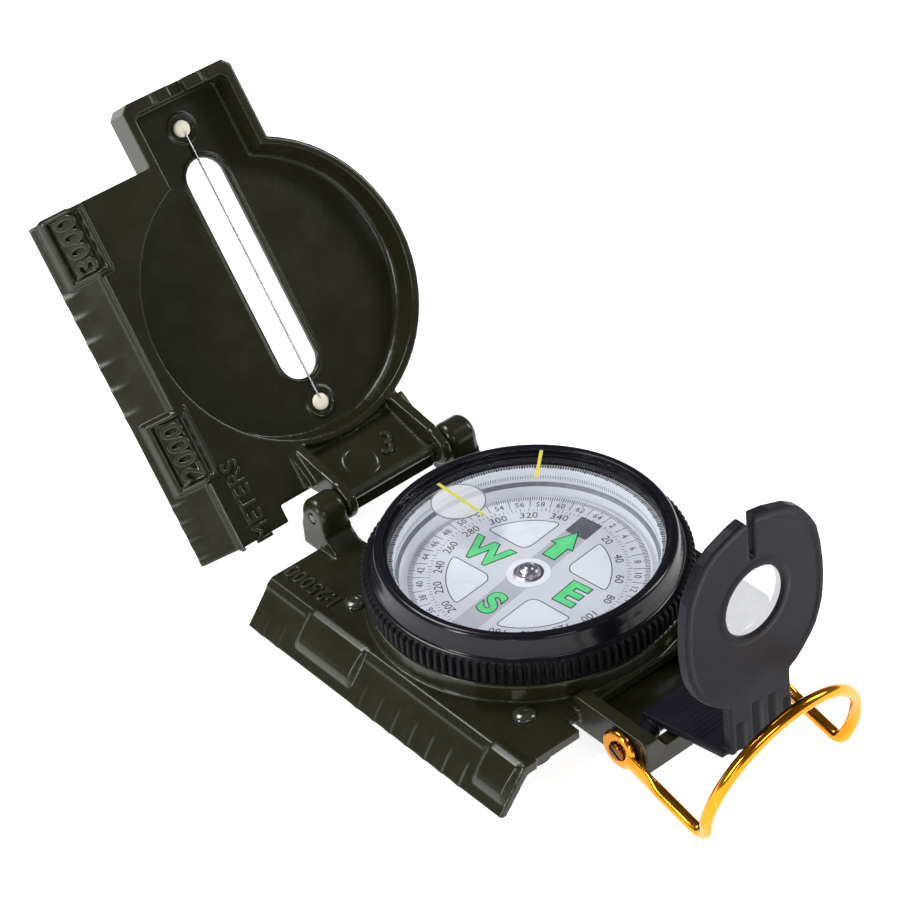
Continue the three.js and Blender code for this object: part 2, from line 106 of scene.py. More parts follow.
def noise(nt, vec, scale, detail=4.0, rough=0.55):
    n = add(nt, "ShaderNodeTexNoise")
    n.inputs["Scale"].default_value = scale
    n.inputs["Detail"].default_value = detail
    n.inputs["Roughness"].default_value = rough
    nt.links.new(vec, n.inputs["Vector"])
    return n.outputs["Fac"]


def ramp(nt, fac, stops):
    r = add(nt, "ShaderNodeValToRGB")
    els = r.color_ramp.elements
    els[0].position, els[0].color = stops[0][0], (*stops[0][1], 1)
    els[1].position, els[1].color = stops[-1][0], (*stops[-1][1], 1)
    for p, c in stops[1:-1]:
        e = els.new(p)
        e.color = (*c, 1)
    nt.links.new(fac, r.inputs["Fac"])
    return r.outputs["Color"]


def mix_rgb(nt, fac, a, b):
    m = add(nt, "ShaderNodeMix", data_type="RGBA")
    for sock, v in ((m.inputs[0], fac), (m.inputs[6], a), (m.inputs[7], b)):
        if hasattr(v, "is_linked") or isinstance(v, bpy.types.NodeSocket):
            nt.links.new(v, sock)
        else:
            sock.default_value = v if isinstance(v, float) else (*v, 1)
    return m.outputs[2]


def surface(name, dark, light, rough=(0.3, 0.45), metal=0.0, grain=900.0, bump=0.06, bump_mm=0.02, spec=0.5,
            coat=0.0, wear=None, wear_at=0.55, big=60.0, edge_light=None, aniso=None):
    """Principled surface: mottled colour, fine grain bump, varied roughness and optional worn edges; edge_light is not
    used.
    """
    m, nt, out = new_mat(name)
    v = coords(nt)
    b = add(nt, "ShaderNodeBsdfPrincipled")
    n_big, n_fine = noise(nt, v, big, 5.0, 0.6), noise(nt, v, grain, 3.0, 0.6)
    col = ramp(nt, n_big, [(0.3, dark), (0.7, light)])
    if wear is not None:
        g = add(nt, "ShaderNodeNewGeometry")
        edge = add(nt, "ShaderNodeMapRange")
        edge.inputs[1].default_value, edge.inputs[2].default_value = wear_at, wear_at + 0.10
        nt.links.new(g.outputs["Pointiness"], edge.inputs[0])
        scr = add(nt, "ShaderNodeMath", operation="MULTIPLY")
        nt.links.new(edge.outputs[0], scr.inputs[0])
        patchy = add(nt, "ShaderNodeMapRange")
        patchy.inputs[1].default_value, patchy.inputs[2].default_value = 0.40, 0.66
        nt.links.new(noise(nt, v, 260.0, 4.0, 0.7), patchy.inputs[0])
        nt.links.new(patchy.outputs[0], scr.inputs[1])
        col = mix_rgb(nt, scr.outputs[0], col, wear)
    nt.links.new(col, b.inputs["Base Color"])
    rr = add(nt, "ShaderNodeMapRange")
    rr.inputs[1].default_value, rr.inputs[2].default_value = 0.3, 0.7
    rr.inputs[3].default_value, rr.inputs[4].default_value = rough
    nt.links.new(noise(nt, v, big * 4, 4.0, 0.6), rr.inputs[0])
    nt.links.new(rr.outputs[0], b.inputs["Roughness"])
    b.inputs["Metallic"].default_value = metal
    b.inputs["Specular IOR Level"].default_value = spec
    if coat:
        b.inputs["Coat Weight"].default_value = coat
        b.inputs["Coat Roughness"].default_value = 0.12
    bp = add(nt, "ShaderNodeBump")
    bp.inputs["Strength"].default_value = bump
    bp.inputs["Distance"].default_value = bump_mm * MM
    nt.links.new(n_fine, bp.inputs["Height"])
    nt.links.new(bp.outputs["Normal"], b.inputs["Normal"])
    if coat:
        nt.links.new(bp.outputs["Normal"], b.inputs["Coat Normal"])
    nt.links.new(b.outputs[0], out.inputs[0])
    return m


def clear(name, tint=(0.985, 0.99, 0.995), rim=(0.60, 0.63, 0.65), rough=0.03, scratch=True, painted_glow=0.0):
    """Thin clear cover: passes light straight through, with Fresnel gloss and a darker rim; painted_glow mixes in a
    whitish emission, a painted glow that brightens the cover.
    """
    m, nt, out = new_mat(name)
    v = coords(nt)
    lw = add(nt, "ShaderNodeLayerWeight")
    lw.inputs["Blend"].default_value = 0.35
    col = ramp(nt, lw.outputs["Facing"], [(0.55, tint), (0.98, rim)])
    tr = add(nt, "ShaderNodeBsdfTransparent")
    nt.links.new(col, tr.inputs["Color"])
    gl = add(nt, "ShaderNodeBsdfGlossy")
    rr = add(nt, "ShaderNodeMapRange")
    rr.inputs[1].default_value, rr.inputs[2].default_value = 0.35, 0.75
    rr.inputs[3].default_value, rr.inputs[4].default_value = rough, rough + (0.06 if scratch else 0.0)
    nt.links.new(noise(nt, v, 300.0, 5.0, 0.7), rr.inputs[0])
    nt.links.new(rr.outputs[0], gl.inputs["Roughness"])
    gloss = ramp(nt, lw.outputs["Facing"], [(0.0, (0.012,) * 3), (0.62, (0.03,) * 3), (0.80, (0.10,) * 3), (1.0, (0.55,) * 3)])
    half = add(nt, "ShaderNodeMath", operation="MULTIPLY")
    half.inputs[1].default_value = 0.8
    nt.links.new(gloss, half.inputs[0])
    mx = add(nt, "ShaderNodeMixShader")
    nt.links.new(half.outputs[0], mx.inputs[0])
    nt.links.new(tr.outputs[0], mx.inputs[1])
    nt.links.new(gl.outputs[0], mx.inputs[2])
    last = mx
    if painted_glow:
        # painted glow: whitish emission mixed over the clear shader
        em = add(nt, "ShaderNodeEmission")
        nt.links.new(ramp(nt, noise(nt, v, 220.0, 3.0, 0.6), [(0.3, (0.86, 0.87, 0.90)), (0.7, (0.98, 0.98, 1.0))]), em.inputs["Color"])
        last = add(nt, "ShaderNodeMixShader")
        last.inputs[0].default_value = painted_glow
        nt.links.new(mx.outputs[0], last.inputs[1])
        nt.links.new(em.outputs[0], last.inputs[2])
    nt.links.new(last.outputs[0], out.inputs[0])
    return m


def glass(name):
    m, nt, out = new_mat(name)
    v = coords(nt)
    b = add(nt, "ShaderNodeBsdfPrincipled")
    b.inputs["Transmission Weight"].default_value = 1.0
    b.inputs["IOR"].default_value = 1.49
    nt.links.new(ramp(nt, noise(nt, v, 80.0), [(0.3, (0.97, 0.985, 0.99)), (0.7, (1, 1, 1))]), b.inputs["Base Color"])
    rr = add(nt, "ShaderNodeMapRange")
    rr.inputs[3].default_value, rr.inputs[4].default_value = 0.0, 0.03
    nt.links.new(noise(nt, v, 400.0, 5.0, 0.7), rr.inputs[0])
    nt.links.new(rr.outputs[0], b.inputs["Roughness"])
    nt.links.new(b.outputs[0], out.inputs[0])
    return m


def ink(name, dark, light, rough=0.45, glow=0.0):
    m, nt, out = new_mat(name)
    v = coords(nt)
    b = add(nt, "ShaderNodeBsdfPrincipled")
    col = ramp(nt, noise(nt, v, 700.0, 4.0, 0.6), [(0.3, dark), (0.7, light)])
    nt.links.new(col, b.inputs["Base Color"])
    b.inputs["Roughness"].default_value = rough
    if glow:
        nt.links.new(col, b.inputs["Emission Color"])
        b.inputs["Emission Strength"].default_value = glow
    bp = add(nt, "ShaderNodeBump")
    bp.inputs["Strength"].default_value = 0.1
    bp.inputs["Distance"].default_value = 0.01 * MM
    nt.links.new(noise(nt, v, 2500.0), bp.inputs["Height"])
    nt.links.new(bp.outputs["Normal"], b.inputs["Normal"])
    nt.links.new(b.outputs[0], out.inputs[0])
    return m


OLIVE = surface("olive_enamel", (0.0145, 0.0138, 0.0066), (0.0195, 0.0186, 0.0094), rough=(0.22, 0.30), grain=2600, bump=0.22,
                bump_mm=0.012, spec=0.36, coat=0.08, wear=(0.10, 0.10, 0.075), wear_at=0.66, big=45)
# painted highlight: a lighter, glossier copy of the olive enamel, used on the raised figures and the fold bead so they
# read as lit
OLIVE_HIGHLIT = surface("olive_enamel_painted_highlight", (0.024, 0.0232, 0.0145), (0.036, 0.0350, 0.0225), rough=(0.13, 0.20), grain=2600,
                     bump=0.2, bump_mm=0.01, spec=0.5, coat=0.3, big=90)
RIVET = surface("olive_enamel_rivet", (0.018, 0.018, 0.011), (0.032, 0.031, 0.021), rough=(0.18, 0.28), grain=2200, bump=0.15,
                bump_mm=0.01, spec=0.6, coat=0.5, big=150)
BLACK = surface("black_anodised_bezel", (0.0050, 0.0050, 0.0080), (0.0080, 0.0080, 0.0120), rough=(0.15, 0.22), grain=2400, bump=0.12,
                bump_mm=0.01, spec=0.27, coat=0.05, big=80)
PLASTIC = surface("charcoal_moulded_plastic", (0.0065, 0.0065, 0.0115), (0.0105, 0.0105, 0.0165), rough=(0.38, 0.48), grain=3000, bump=0.35,
                  bump_mm=0.015, spec=0.14, big=70)
GOLD = surface("gold_anodised_wire", (0.80, 0.29, 0.012), (0.90, 0.37, 0.028), rough=(0.12, 0.18), metal=1.0, grain=1500, bump=0.05,
               bump_mm=0.01, big=120)
GOLD_DARK = surface("bronze_screw", (0.16, 0.065, 0.014), (0.30, 0.13, 0.028), rough=(0.20, 0.32), metal=1.0, grain=1800, bump=0.15,
                    bump_mm=0.01, big=300)
STEEL = surface("bright_steel", (0.52, 0.53, 0.55), (0.66, 0.67, 0.69), rough=(0.16, 0.28), metal=1.0, grain=2200, bump=0.1, bump_mm=0.01,
                big=200)
WIRE = surface("drawn_wire", (0.42, 0.42, 0.43), (0.56, 0.56, 0.57), rough=(0.22, 0.34), metal=1.0, grain=2600, bump=0.0, bump_mm=0.001,
               big=500)
DARKSTEEL = surface("painted_pin_end", (0.030, 0.030, 0.032), (0.06, 0.06, 0.062), rough=(0.25, 0.35), metal=0.6, grain=2200, bump=0.1,
                    bump_mm=0.01, big=200)
CHROME = surface("hub_chrome", (0.36, 0.33, 0.36), (0.54, 0.50, 0.54), rough=(0.26, 0.36), metal=1.0, grain=1500, bump=0.04, bump_mm=0.01,
                 big=400)
RUBBER = surface("black_rubber", (0.008, 0.008, 0.008), (0.016, 0.016, 0.016), rough=(0.6, 0.8), grain=1800, bump=0.5, bump_mm=0.03,
                 spec=0.3, big=90)
WHITE = surface("white_moulded_capsule", (0.74, 0.75, 0.78), (0.82, 0.83, 0.85), rough=(0.25, 0.38), grain=1200, bump=0.05, bump_mm=0.01,
                big=60)
CARDM = surface("dial_card", (0.66, 0.66, 0.71), (0.74, 0.74, 0.79), rough=(0.35, 0.45), grain=1800, bump=0.05, bump_mm=0.005, big=50)
WINDOW = surface("dial_card_window", (0.80, 0.81, 0.85), (0.87, 0.88, 0.91), rough=(0.25, 0.35), grain=1800, bump=0.05, bump_mm=0.005,
                 big=50)
BAND = surface("dial_band_over_magnet", (0.50, 0.50, 0.53), (0.60, 0.60, 0.64), rough=(0.3, 0.42), grain=1500, bump=0.05, bump_mm=0.005,
               big=90)
MAGNET = surface("magnet_steel", (0.20, 0.20, 0.225), (0.36, 0.36, 0.39), rough=(0.3, 0.42), metal=0.7, grain=1500, bump=0.1,
                 bump_mm=0.01, big=160)
INK = ink("dial_ink", (0.030, 0.030, 0.038), (0.06, 0.06, 0.07))
INK_SOFT = ink("dial_ink_grey", (0.22, 0.22, 0.25), (0.32, 0.32, 0.35))
GREEN = ink("luminous_green", (0.10, 0.66, 0.22), (0.15, 0.76, 0.29), glow=0.12)
GREEN_EDGE = ink("green_outline", (0.006, 0.05, 0.022), (0.012, 0.09, 0.04))
YELLOW = ink("luminous_yellow", (0.62, 0.56, 0.045), (0.74, 0.68, 0.09), glow=0.10)
IVORY = ink("luminous_ivory", (0.86, 0.82, 0.62), (0.95, 0.92, 0.74), glow=0.10)
CRYSTAL = clear("clear_crystal")
# the magnifier and the sight lens carry a painted glow (whitish emission) that lightens them
MAGN = clear("clear_magnifier", tint=(0.97, 0.975, 0.985), rim=(0.35, 0.37, 0.38), rough=0.02, painted_glow=0.42)
GLASS = clear("sight_glass", tint=(0.955, 0.965, 0.975), rim=(0.40, 0.42, 0.44), rough=0.02, painted_glow=0.50)
KNURL = surface("black_anodised_knurl", (0.0040, 0.0040, 0.0052), (0.0075, 0.0075, 0.0095), rough=(0.38, 0.50), grain=2600, bump=0.15,
                bump_mm=0.012, spec=0.12, big=90)
# painted glow: a bluish-white emission on the capsule, card and window colours that lightens them where the bezel and
# crystals shade them
for _m, _e in ((WHITE, 0.20), (CARDM, 0.07), (WINDOW, 0.07)):
    _b = next(n for n in _m.node_tree.nodes if n.type == "BSDF_PRINCIPLED")
    _b.inputs["Emission Color"].default_value = (0.86, 0.87, 0.93, 1)
    _b.inputs["Emission Strength"].default_value = _e


# ------------------------------------------------------------------ mesh building
SLOTS = {
    "base_casting": "olive_casting", "bottom_cover": "olive_casting", "cover_casting": "olive_casting", "bottom_screw_1": "steel",
    "bottom_screw_2": "steel", "bottom_screw_3": "steel", "hinge_pin": "steel", "lens_arm_pin": "steel", "bezel_snap_ring": "steel",
    "pivot_post": "steel", "sighting_wire": "steel", "foot_front_left": "black_rubber", "foot_front_right": "black_rubber",
    "foot_rear_left": "black_rubber", "foot_rear_right": "black_rubber", "rivet_front_left": "olive_rivet",
    "rivet_front_right": "olive_rivet", "rivet_rear_left": "olive_rivet", "rivet_rear_right": "olive_rivet",
    "loop_screw_left": "gold_metal", "loop_screw_right": "gold_metal", "thumb_loop": "gold_metal", "capsule_cup": "white_plastic",
    "compass_card": "white_plastic", "fixed_crystal": "crystal", "magnifier_disc": "crystal", "bezel_crystal": "crystal",
    "sight_lens": "crystal", "fixed_index_line": "yellow_paint", "luminous_line": "luminous_paint",
    "luminous_dot_upper": "luminous_paint", "luminous_dot_lower": "luminous_paint", "bezel_ring": "black_metal",
    "magnet_bar": "magnet_steel", "jewel_hub": "chrome_hub", "lens_arm": "black_plastic"}


def make(name, verts, faces, mat, body, M=WORLD, smooth=True, sharp=35, node=(), clean=True, slot=None):
    v = np.asarray(verts, float)
    v = (v @ M[:3, :3].T + M[:3, 3]) * MM
    me = bpy.data.meshes.new(name)
    me.from_pydata(v.tolist(), [], [tuple(int(i) for i in f) for f in faces])
    if clean:
        bm = bmesh.new()
        bm.from_mesh(me)
        bmesh.ops.remove_doubles(bm, verts=bm.verts, dist=2e-7)
        bmesh.ops.dissolve_degenerate(bm, edges=bm.edges, dist=1e-8)
        bmesh.ops.recalc_face_normals(bm, faces=bm.faces)
        bm.to_mesh(me)
        bm.free()
    me.update()
    me.polygons.foreach_set("use_smooth", [smooth] * len(me.polygons))
    if smooth and sharp:
        me.set_sharp_from_angle(angle=sharp * DEG)
    o = bpy.data.objects.new(name, me)
    bpy.context.scene.collection.objects.link(o)
    me.materials.append(mat)
    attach(o, body)
    if node:
        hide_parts(*([node] if isinstance(node, str) else node))
    if not slot and isinstance(node, str):
        slot = SLOTS.get(node)
    return o


def fillet(pts, r, n=5, closed=True, skip=()):
    """Rounds the corners of a polygon; r is one radius or one for each corner."""
    out, N = [], len(pts)
    for i in range(N):
        p = np.array(pts[i], float)
        rr = r[i] if hasattr(r, "__len__") else r
        if rr <= 0 or i in skip or (not closed and i in (0, N - 1)):
            out.append(tuple(p))
            continue
        a, b = np.array(pts[i - 1], float), np.array(pts[(i + 1) % N], float)
        da, db = a - p, b - p
        la, lb = np.linalg.norm(da), np.linalg.norm(db)
        if la < 1e-9 or lb < 1e-9:
            out.append(tuple(p))
            continue
        da, db = da / la, db / lb
        ang = math.acos(max(-1, min(1, float(da @ db))))
        if abs(ang - math.pi) < 0.02:
            out.append(tuple(p))
            continue
        t = min(rr / math.tan(ang / 2), la * 0.48, lb * 0.48)
        rr = t * math.tan(ang / 2)
        c = p + (da + db) / np.linalg.norm(da + db) * (rr / math.sin(ang / 2))
        s, e = p + da * t, p + db * t
        a0, a1 = math.atan2(*(s - c)[::-1]), math.atan2(*(e - c)[::-1])
        d = (a1 - a0 + math.pi) % (2 * math.pi) - math.pi
        for k in range(n + 1):
            q = a0 + d * k / n
            out.append((c[0] + rr * math.cos(q), c[1] + rr * math.sin(q)))
    return out


def lathe(profile, seg=96, wave=None):
    """Closed profile of (radius, height) turned about Z. wave(radius, height, angle) may change the radius."""
    n, v, f = len(profile), [], []
    for i in range(seg):
        a = 2 * math.pi * i / seg
        for r, z in profile:
            rr = wave(r, z, a) if wave else r
            v.append((rr * math.cos(a), rr * math.sin(a), z))
    for i in range(seg):
        k = (i + 1) % seg
        for j in range(n):
            l = (j + 1) % n
            if abs(profile[j][0]) < 1e-9 and abs(profile[l][0]) < 1e-9:
                continue
            f.append((i * n + j, k * n + j, k * n + l, i * n + l))
    return v, f


def prism(pts, z0, z1, axis="z"):
    n = len(pts)
    v = [(a, b, z0) for a, b in pts] + [(a, b, z1) for a, b in pts]
    f = [tuple(range(n))[::-1], tuple(range(n, 2 * n))] + [(i, (i + 1) % n, n + (i + 1) % n, n + i) for i in range(n)]
    if axis == "x":
        v = [(c, a, b) for a, b, c in v]
    if axis == "y":
        v = [(a, c, b) for a, b, c in v]
    return v, f


def sweep(path, section, closed=False, frames=None):
    """Section of (a, b) points swept along a 3-D path. frames gives a fixed side vector for each path point."""
    P = np.asarray(path, float)
    N, n, v, f = len(P), len(section), [], []
    T = np.gradient(P, axis=0)
    if closed:
        T = np.roll(P, -1, 0) - np.roll(P, 1, 0)
    T /= np.linalg.norm(T, axis=1)[:, None]
    side = None
    for i in range(N):
        if frames is not None:
            side = np.array(frames[i] if np.ndim(frames) == 2 else frames, float)
        elif side is None:
            side = np.cross(T[i], [0.3, 0.2, 1.0])
        side = side - T[i] * (side @ T[i])
        side /= np.linalg.norm(side)
        up = np.cross(T[i], side)
        sec = section[i] if isinstance(section[0][0], (tuple, list, np.ndarray)) else section
        for a, b in sec:
            v.append(P[i] + side * a + up * b)
    m = len(section[0]) if isinstance(section[0][0], (tuple, list, np.ndarray)) else n
    for i in range(N if closed else N - 1):
        k = (i + 1) % N
        for j in range(m):
            l = (j + 1) % m
            f.append((i * m + j, k * m + j, k * m + l, i * m + l))
    if not closed:
        f.append(tuple(range(m)))
        f.append(tuple(range((N - 1) * m, N * m))[::-1])
    return v, f


def circle(r, n=20, flat=1.0):
    return [(r * math.cos(2 * math.pi * i / n), r * flat * math.sin(2 * math.pi * i / n)) for i in range(n)]


def merge(*parts):
    v, f = [], []
    for pv, pf in parts:
        k = len(v)
        v.extend([tuple(p) for p in pv])
        f.extend([tuple(i + k for i in q) for q in pf])
    return v, f


def moved(part, M):
    v = np.asarray(part[0], float)
    return (v @ M[:3, :3].T + M[:3, 3]).tolist(), part[1]


def radial_box(r0, r1, half, az, z0, z1):
    """A small bar between two radii. az is clockwise from +Y, in degrees."""
    s, c = math.sin(az * DEG), math.cos(az * DEG)
    v = []
    for z in (z0, z1):
        for u, w in ((r0, -half), (r1, -half), (r1, half), (r0, half)):
            v.append((u * s + w * c, u * c - w * s, z))
    return v, [(3, 2, 1, 0), (4, 5, 6, 7), (0, 1, 5, 4), (1, 2, 6, 5), (2, 3, 7, 6), (3, 0, 4, 7)]


def text(body, height, depth=0.0, bevel=0.0, fat=0.0, ref="0", width=1.0, res=4):
    """Generic figures as a solid. Returns (verts, faces) centred on their box, cap height = height, base at z = 0."""
    def raw(s, sc):
        cu = bpy.data.curves.new("t", "FONT")
        cu.body = s
        cu.size = 1.0
        cu.resolution_u = res
        if sc:
            cu.extrude = depth / 2 / sc
            cu.bevel_depth = bevel / sc
            cu.bevel_resolution = 2
            cu.offset = fat / sc
        ob = bpy.data.objects.new("t", cu)
        bpy.context.scene.collection.objects.link(ob)
        bpy.context.view_layer.update()
        me = bpy.data.meshes.new_from_object(ob.evaluated_get(bpy.context.evaluated_depsgraph_get()))
        v = np.array([p.co for p in me.vertices], float).reshape(-1, 3)
        f = [tuple(p.vertices) for p in me.polygons]
        bpy.data.objects.remove(ob)
        bpy.data.curves.remove(cu)
        bpy.data.meshes.remove(me)
        return v, f
    base, _ = raw(ref, 0)
    sc = height / (base[:, 1].max() - base[:, 1].min())
    v, f = raw(body, sc)
    v = v * sc
    lo, hi = v.min(0), v.max(0)
    v[:, 0] = (v[:, 0] - (lo[0] + hi[0]) / 2) * width
    v[:, 1] -= (lo[1] + hi[1]) / 2
    v[:, 2] -= lo[2]
    return v.tolist(), f


def cad_part(node, M):
    """A CAD node's mesh in the local frame M, welded, in millimetres."""
    me = NODES[node].data
    v = np.empty(len(me.vertices) * 3)
    me.vertices.foreach_get("co", v)
    v = v.reshape(-1, 3) / MM
    inv = np.linalg.inv(M)
    v = v @ inv[:3, :3].T + inv[:3, 3]
    key = np.round(v * 2000).astype(np.int64)
    _, first, back = np.unique(key, axis=0, return_index=True, return_inverse=True)
    back = np.asarray(back).reshape(-1)
    f = []
    for p in me.polygons:
        q = [int(back[i]) for i in p.vertices]
        if len(set(q)) == len(q):
            f.append(tuple(q))
    return v[first].tolist(), f


def casting(name, part, M, voxel, smooth, sculpt, mat, body, node, cut=(), after=0):
    """Joins overlapping closed solids, rounds their edges as a casting has them, and works the surface."""
    me = bpy.data.meshes.new("tmp")
    me.from_pydata([tuple(p) for p in part[0]], [], part[1])
    bm = bmesh.new()
    bm.from_mesh(me)
    bmesh.ops.recalc_face_normals(bm, faces=bm.faces)
    bm.to_mesh(me)
    bm.free()
    ob = bpy.data.objects.new("tmp", me)
    bpy.context.scene.collection.objects.link(ob)
    extra = []
    for cv, cf in cut:
        cm = bpy.data.meshes.new("cut")
        cm.from_pydata([tuple(p) for p in cv], [], cf)
        bm = bmesh.new()
        bm.from_mesh(cm)
        bmesh.ops.recalc_face_normals(bm, faces=bm.faces)
        bm.to_mesh(cm)
        bm.free()
        co = bpy.data.objects.new("cut", cm)
        bpy.context.scene.collection.objects.link(co)
        extra.append(co)
        mod = ob.modifiers.new("cut", "BOOLEAN")
        mod.operation, mod.object, mod.solver = "DIFFERENCE", co, "EXACT"
    r = ob.modifiers.new("r", "REMESH")
    r.mode, r.voxel_size, r.adaptivity = "VOXEL", voxel, 0.0
    s = ob.modifiers.new("s", "SMOOTH")
    s.factor, s.iterations = 0.5, smooth
    bpy.context.view_layer.update()
    res = bpy.data.meshes.new_from_object(ob.evaluated_get(bpy.context.evaluated_depsgraph_get()))
    for o in [ob, *extra]:
        bpy.data.objects.remove(o)
    v = np.empty(len(res.vertices) * 3)
    res.vertices.foreach_get("co", v)
    v = v.reshape(-1, 3)
    n = np.empty(len(res.vertices) * 3)
    res.vertex_normals.foreach_get("vector", n)
    n = n.reshape(-1, 3)
    if sculpt:
        v = v + sculpt(v, n)
    v = (v @ M[:3, :3].T + M[:3, 3]) * MM
    res.vertices.foreach_set("co", v.astype(np.float32).ravel())
    res.name = name
    res.update()
    res.polygons.foreach_set("use_smooth", [True] * len(res.polygons))
    res.materials.clear()
    res.materials.append(mat)
    o = bpy.data.objects.new(name, res)
    bpy.context.scene.collection.objects.link(o)
    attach(o, body)
    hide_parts(node)
    return o


VOX = 0.2
SM = 5

# ------------------------------------------------------------------ base casting
FX, EX = -26.86, -32.32
BD, BN = np.array([-0.6403, -0.7681]), np.array([-0.7681, 0.6403])
PADS_B = [(7.5, 21.1), (-28.6, -21.7)]
TICKS_B = [28.9, 25.0, 4.8, 0.8, -3.1, -7.2, -11.2, -15.2, -19.2]


def base_pad(y0, y1, k=1.0):
    if k == 1.0:
        return merge(base_pad(y0 + 0.55, y1 - 0.55, 0.999), base_pad(y0 + 0.22, y1 - 0.22, 0.78), base_pad(y0, y1, 0.42))
    P = lambda s, h: (FX + BD[0] * s + BN[0] * h * (k if h > 0 else 1), 7.3 + BD[1] * s + BN[1] * h * (k if h > 0 else 1))
    pts = [(-25.4, 6.4), (-25.4, 7.3 + 0.06 * k), (-26.3, 7.3 + 0.18 * k), P(0.5, 0.46), P(2.5, 0.74), P(4.4, 0.86), P(5.5, 0.74), P(6.3, 0.36), P(6.9, -0.2), P(6.6, -0.5)]
    return prism(pts, y0, y1, "y")


def base_sculpt(v, n):
    x, y, z = v.T
    s = (x - FX) * BD[0] + (z - 7.3) * BD[1]
    h = (x - FX) * BN[0] + (z - 7.3) * BN[1]
    out = np.zeros_like(v)
    face = sstep(0.35, 0.8, n[:, 0] * BN[0] + n[:, 2] * BN[1]) * (x < -24) * (h > -0.7)
    pad = np.zeros(len(v))
    for y0, y1 in PADS_B:
        pad = np.maximum(pad, sstep(y0 - 0.9, y0 - 0.2, y) * (1 - sstep(y1 + 0.2, y1 + 0.9, y)))
    d = np.zeros(len(v))
    for t in TICKS_B:
        u = (y - t) + 0.10 * (s - 5.5) ** 2 * 0.25
        d += 0.15 * np.exp(-(np.where(u > 0, u / 1.35, u / 0.5) ** 2)) * sstep(3.0, 5.4, s)
    d += 0.16 * np.exp(-(((s - 1.1) / 0.5) ** 2))
    d *= (1 - pad)
    out += n * (d * face)[:, None]
    # barrel-rounded ends on the hinge lugs
    dy, dz = y - 33.85, z - 12.3
    rho = np.hypot(dy, dz)
    lugs = (np.abs(x) > 10.8) & (rho > 1.3) & (rho < 3.6) & (z > 8.6)
    t = np.clip((np.abs(np.abs(x) - 13.65) - 1.45) / 1.2, 0, 1)
    k = np.where(lugs, -0.62 * t ** 2 * sstep(1.3, 3.0, rho), 0) / np.maximum(rho, 0.1)
    out[:, 1] += dy * k * (1 - 0.6 * sstep(0, 2.5, -dz))
    out[:, 2] += dz * k * (dz > 0)
    return out


base_parts = [cad_part("base_casting", WORLD)] + [base_pad(a, b) for a, b in PADS_B]
# webs that run from the plate up to the hinge lugs, and rolled ends of the lugs
casting("base_casting_finished", merge(*base_parts), WORLD, VOX, SM, base_sculpt, OLIVE, "base", "base_casting")

# ------------------------------------------------------------------ cover casting
CD, CN = np.array([-0.7045, -0.7097]), np.array([-0.7097, 0.7045])
RIM, FLOOR = -5.7, -10.8
PADS_C = [(12.9, 25.0), (49.8, 61.2)]
TICKS_C = [1.5, 4.8, 8.0, 11.0, 27.5, 32.0, 36.25, 40.5, 44.75, 48.4]


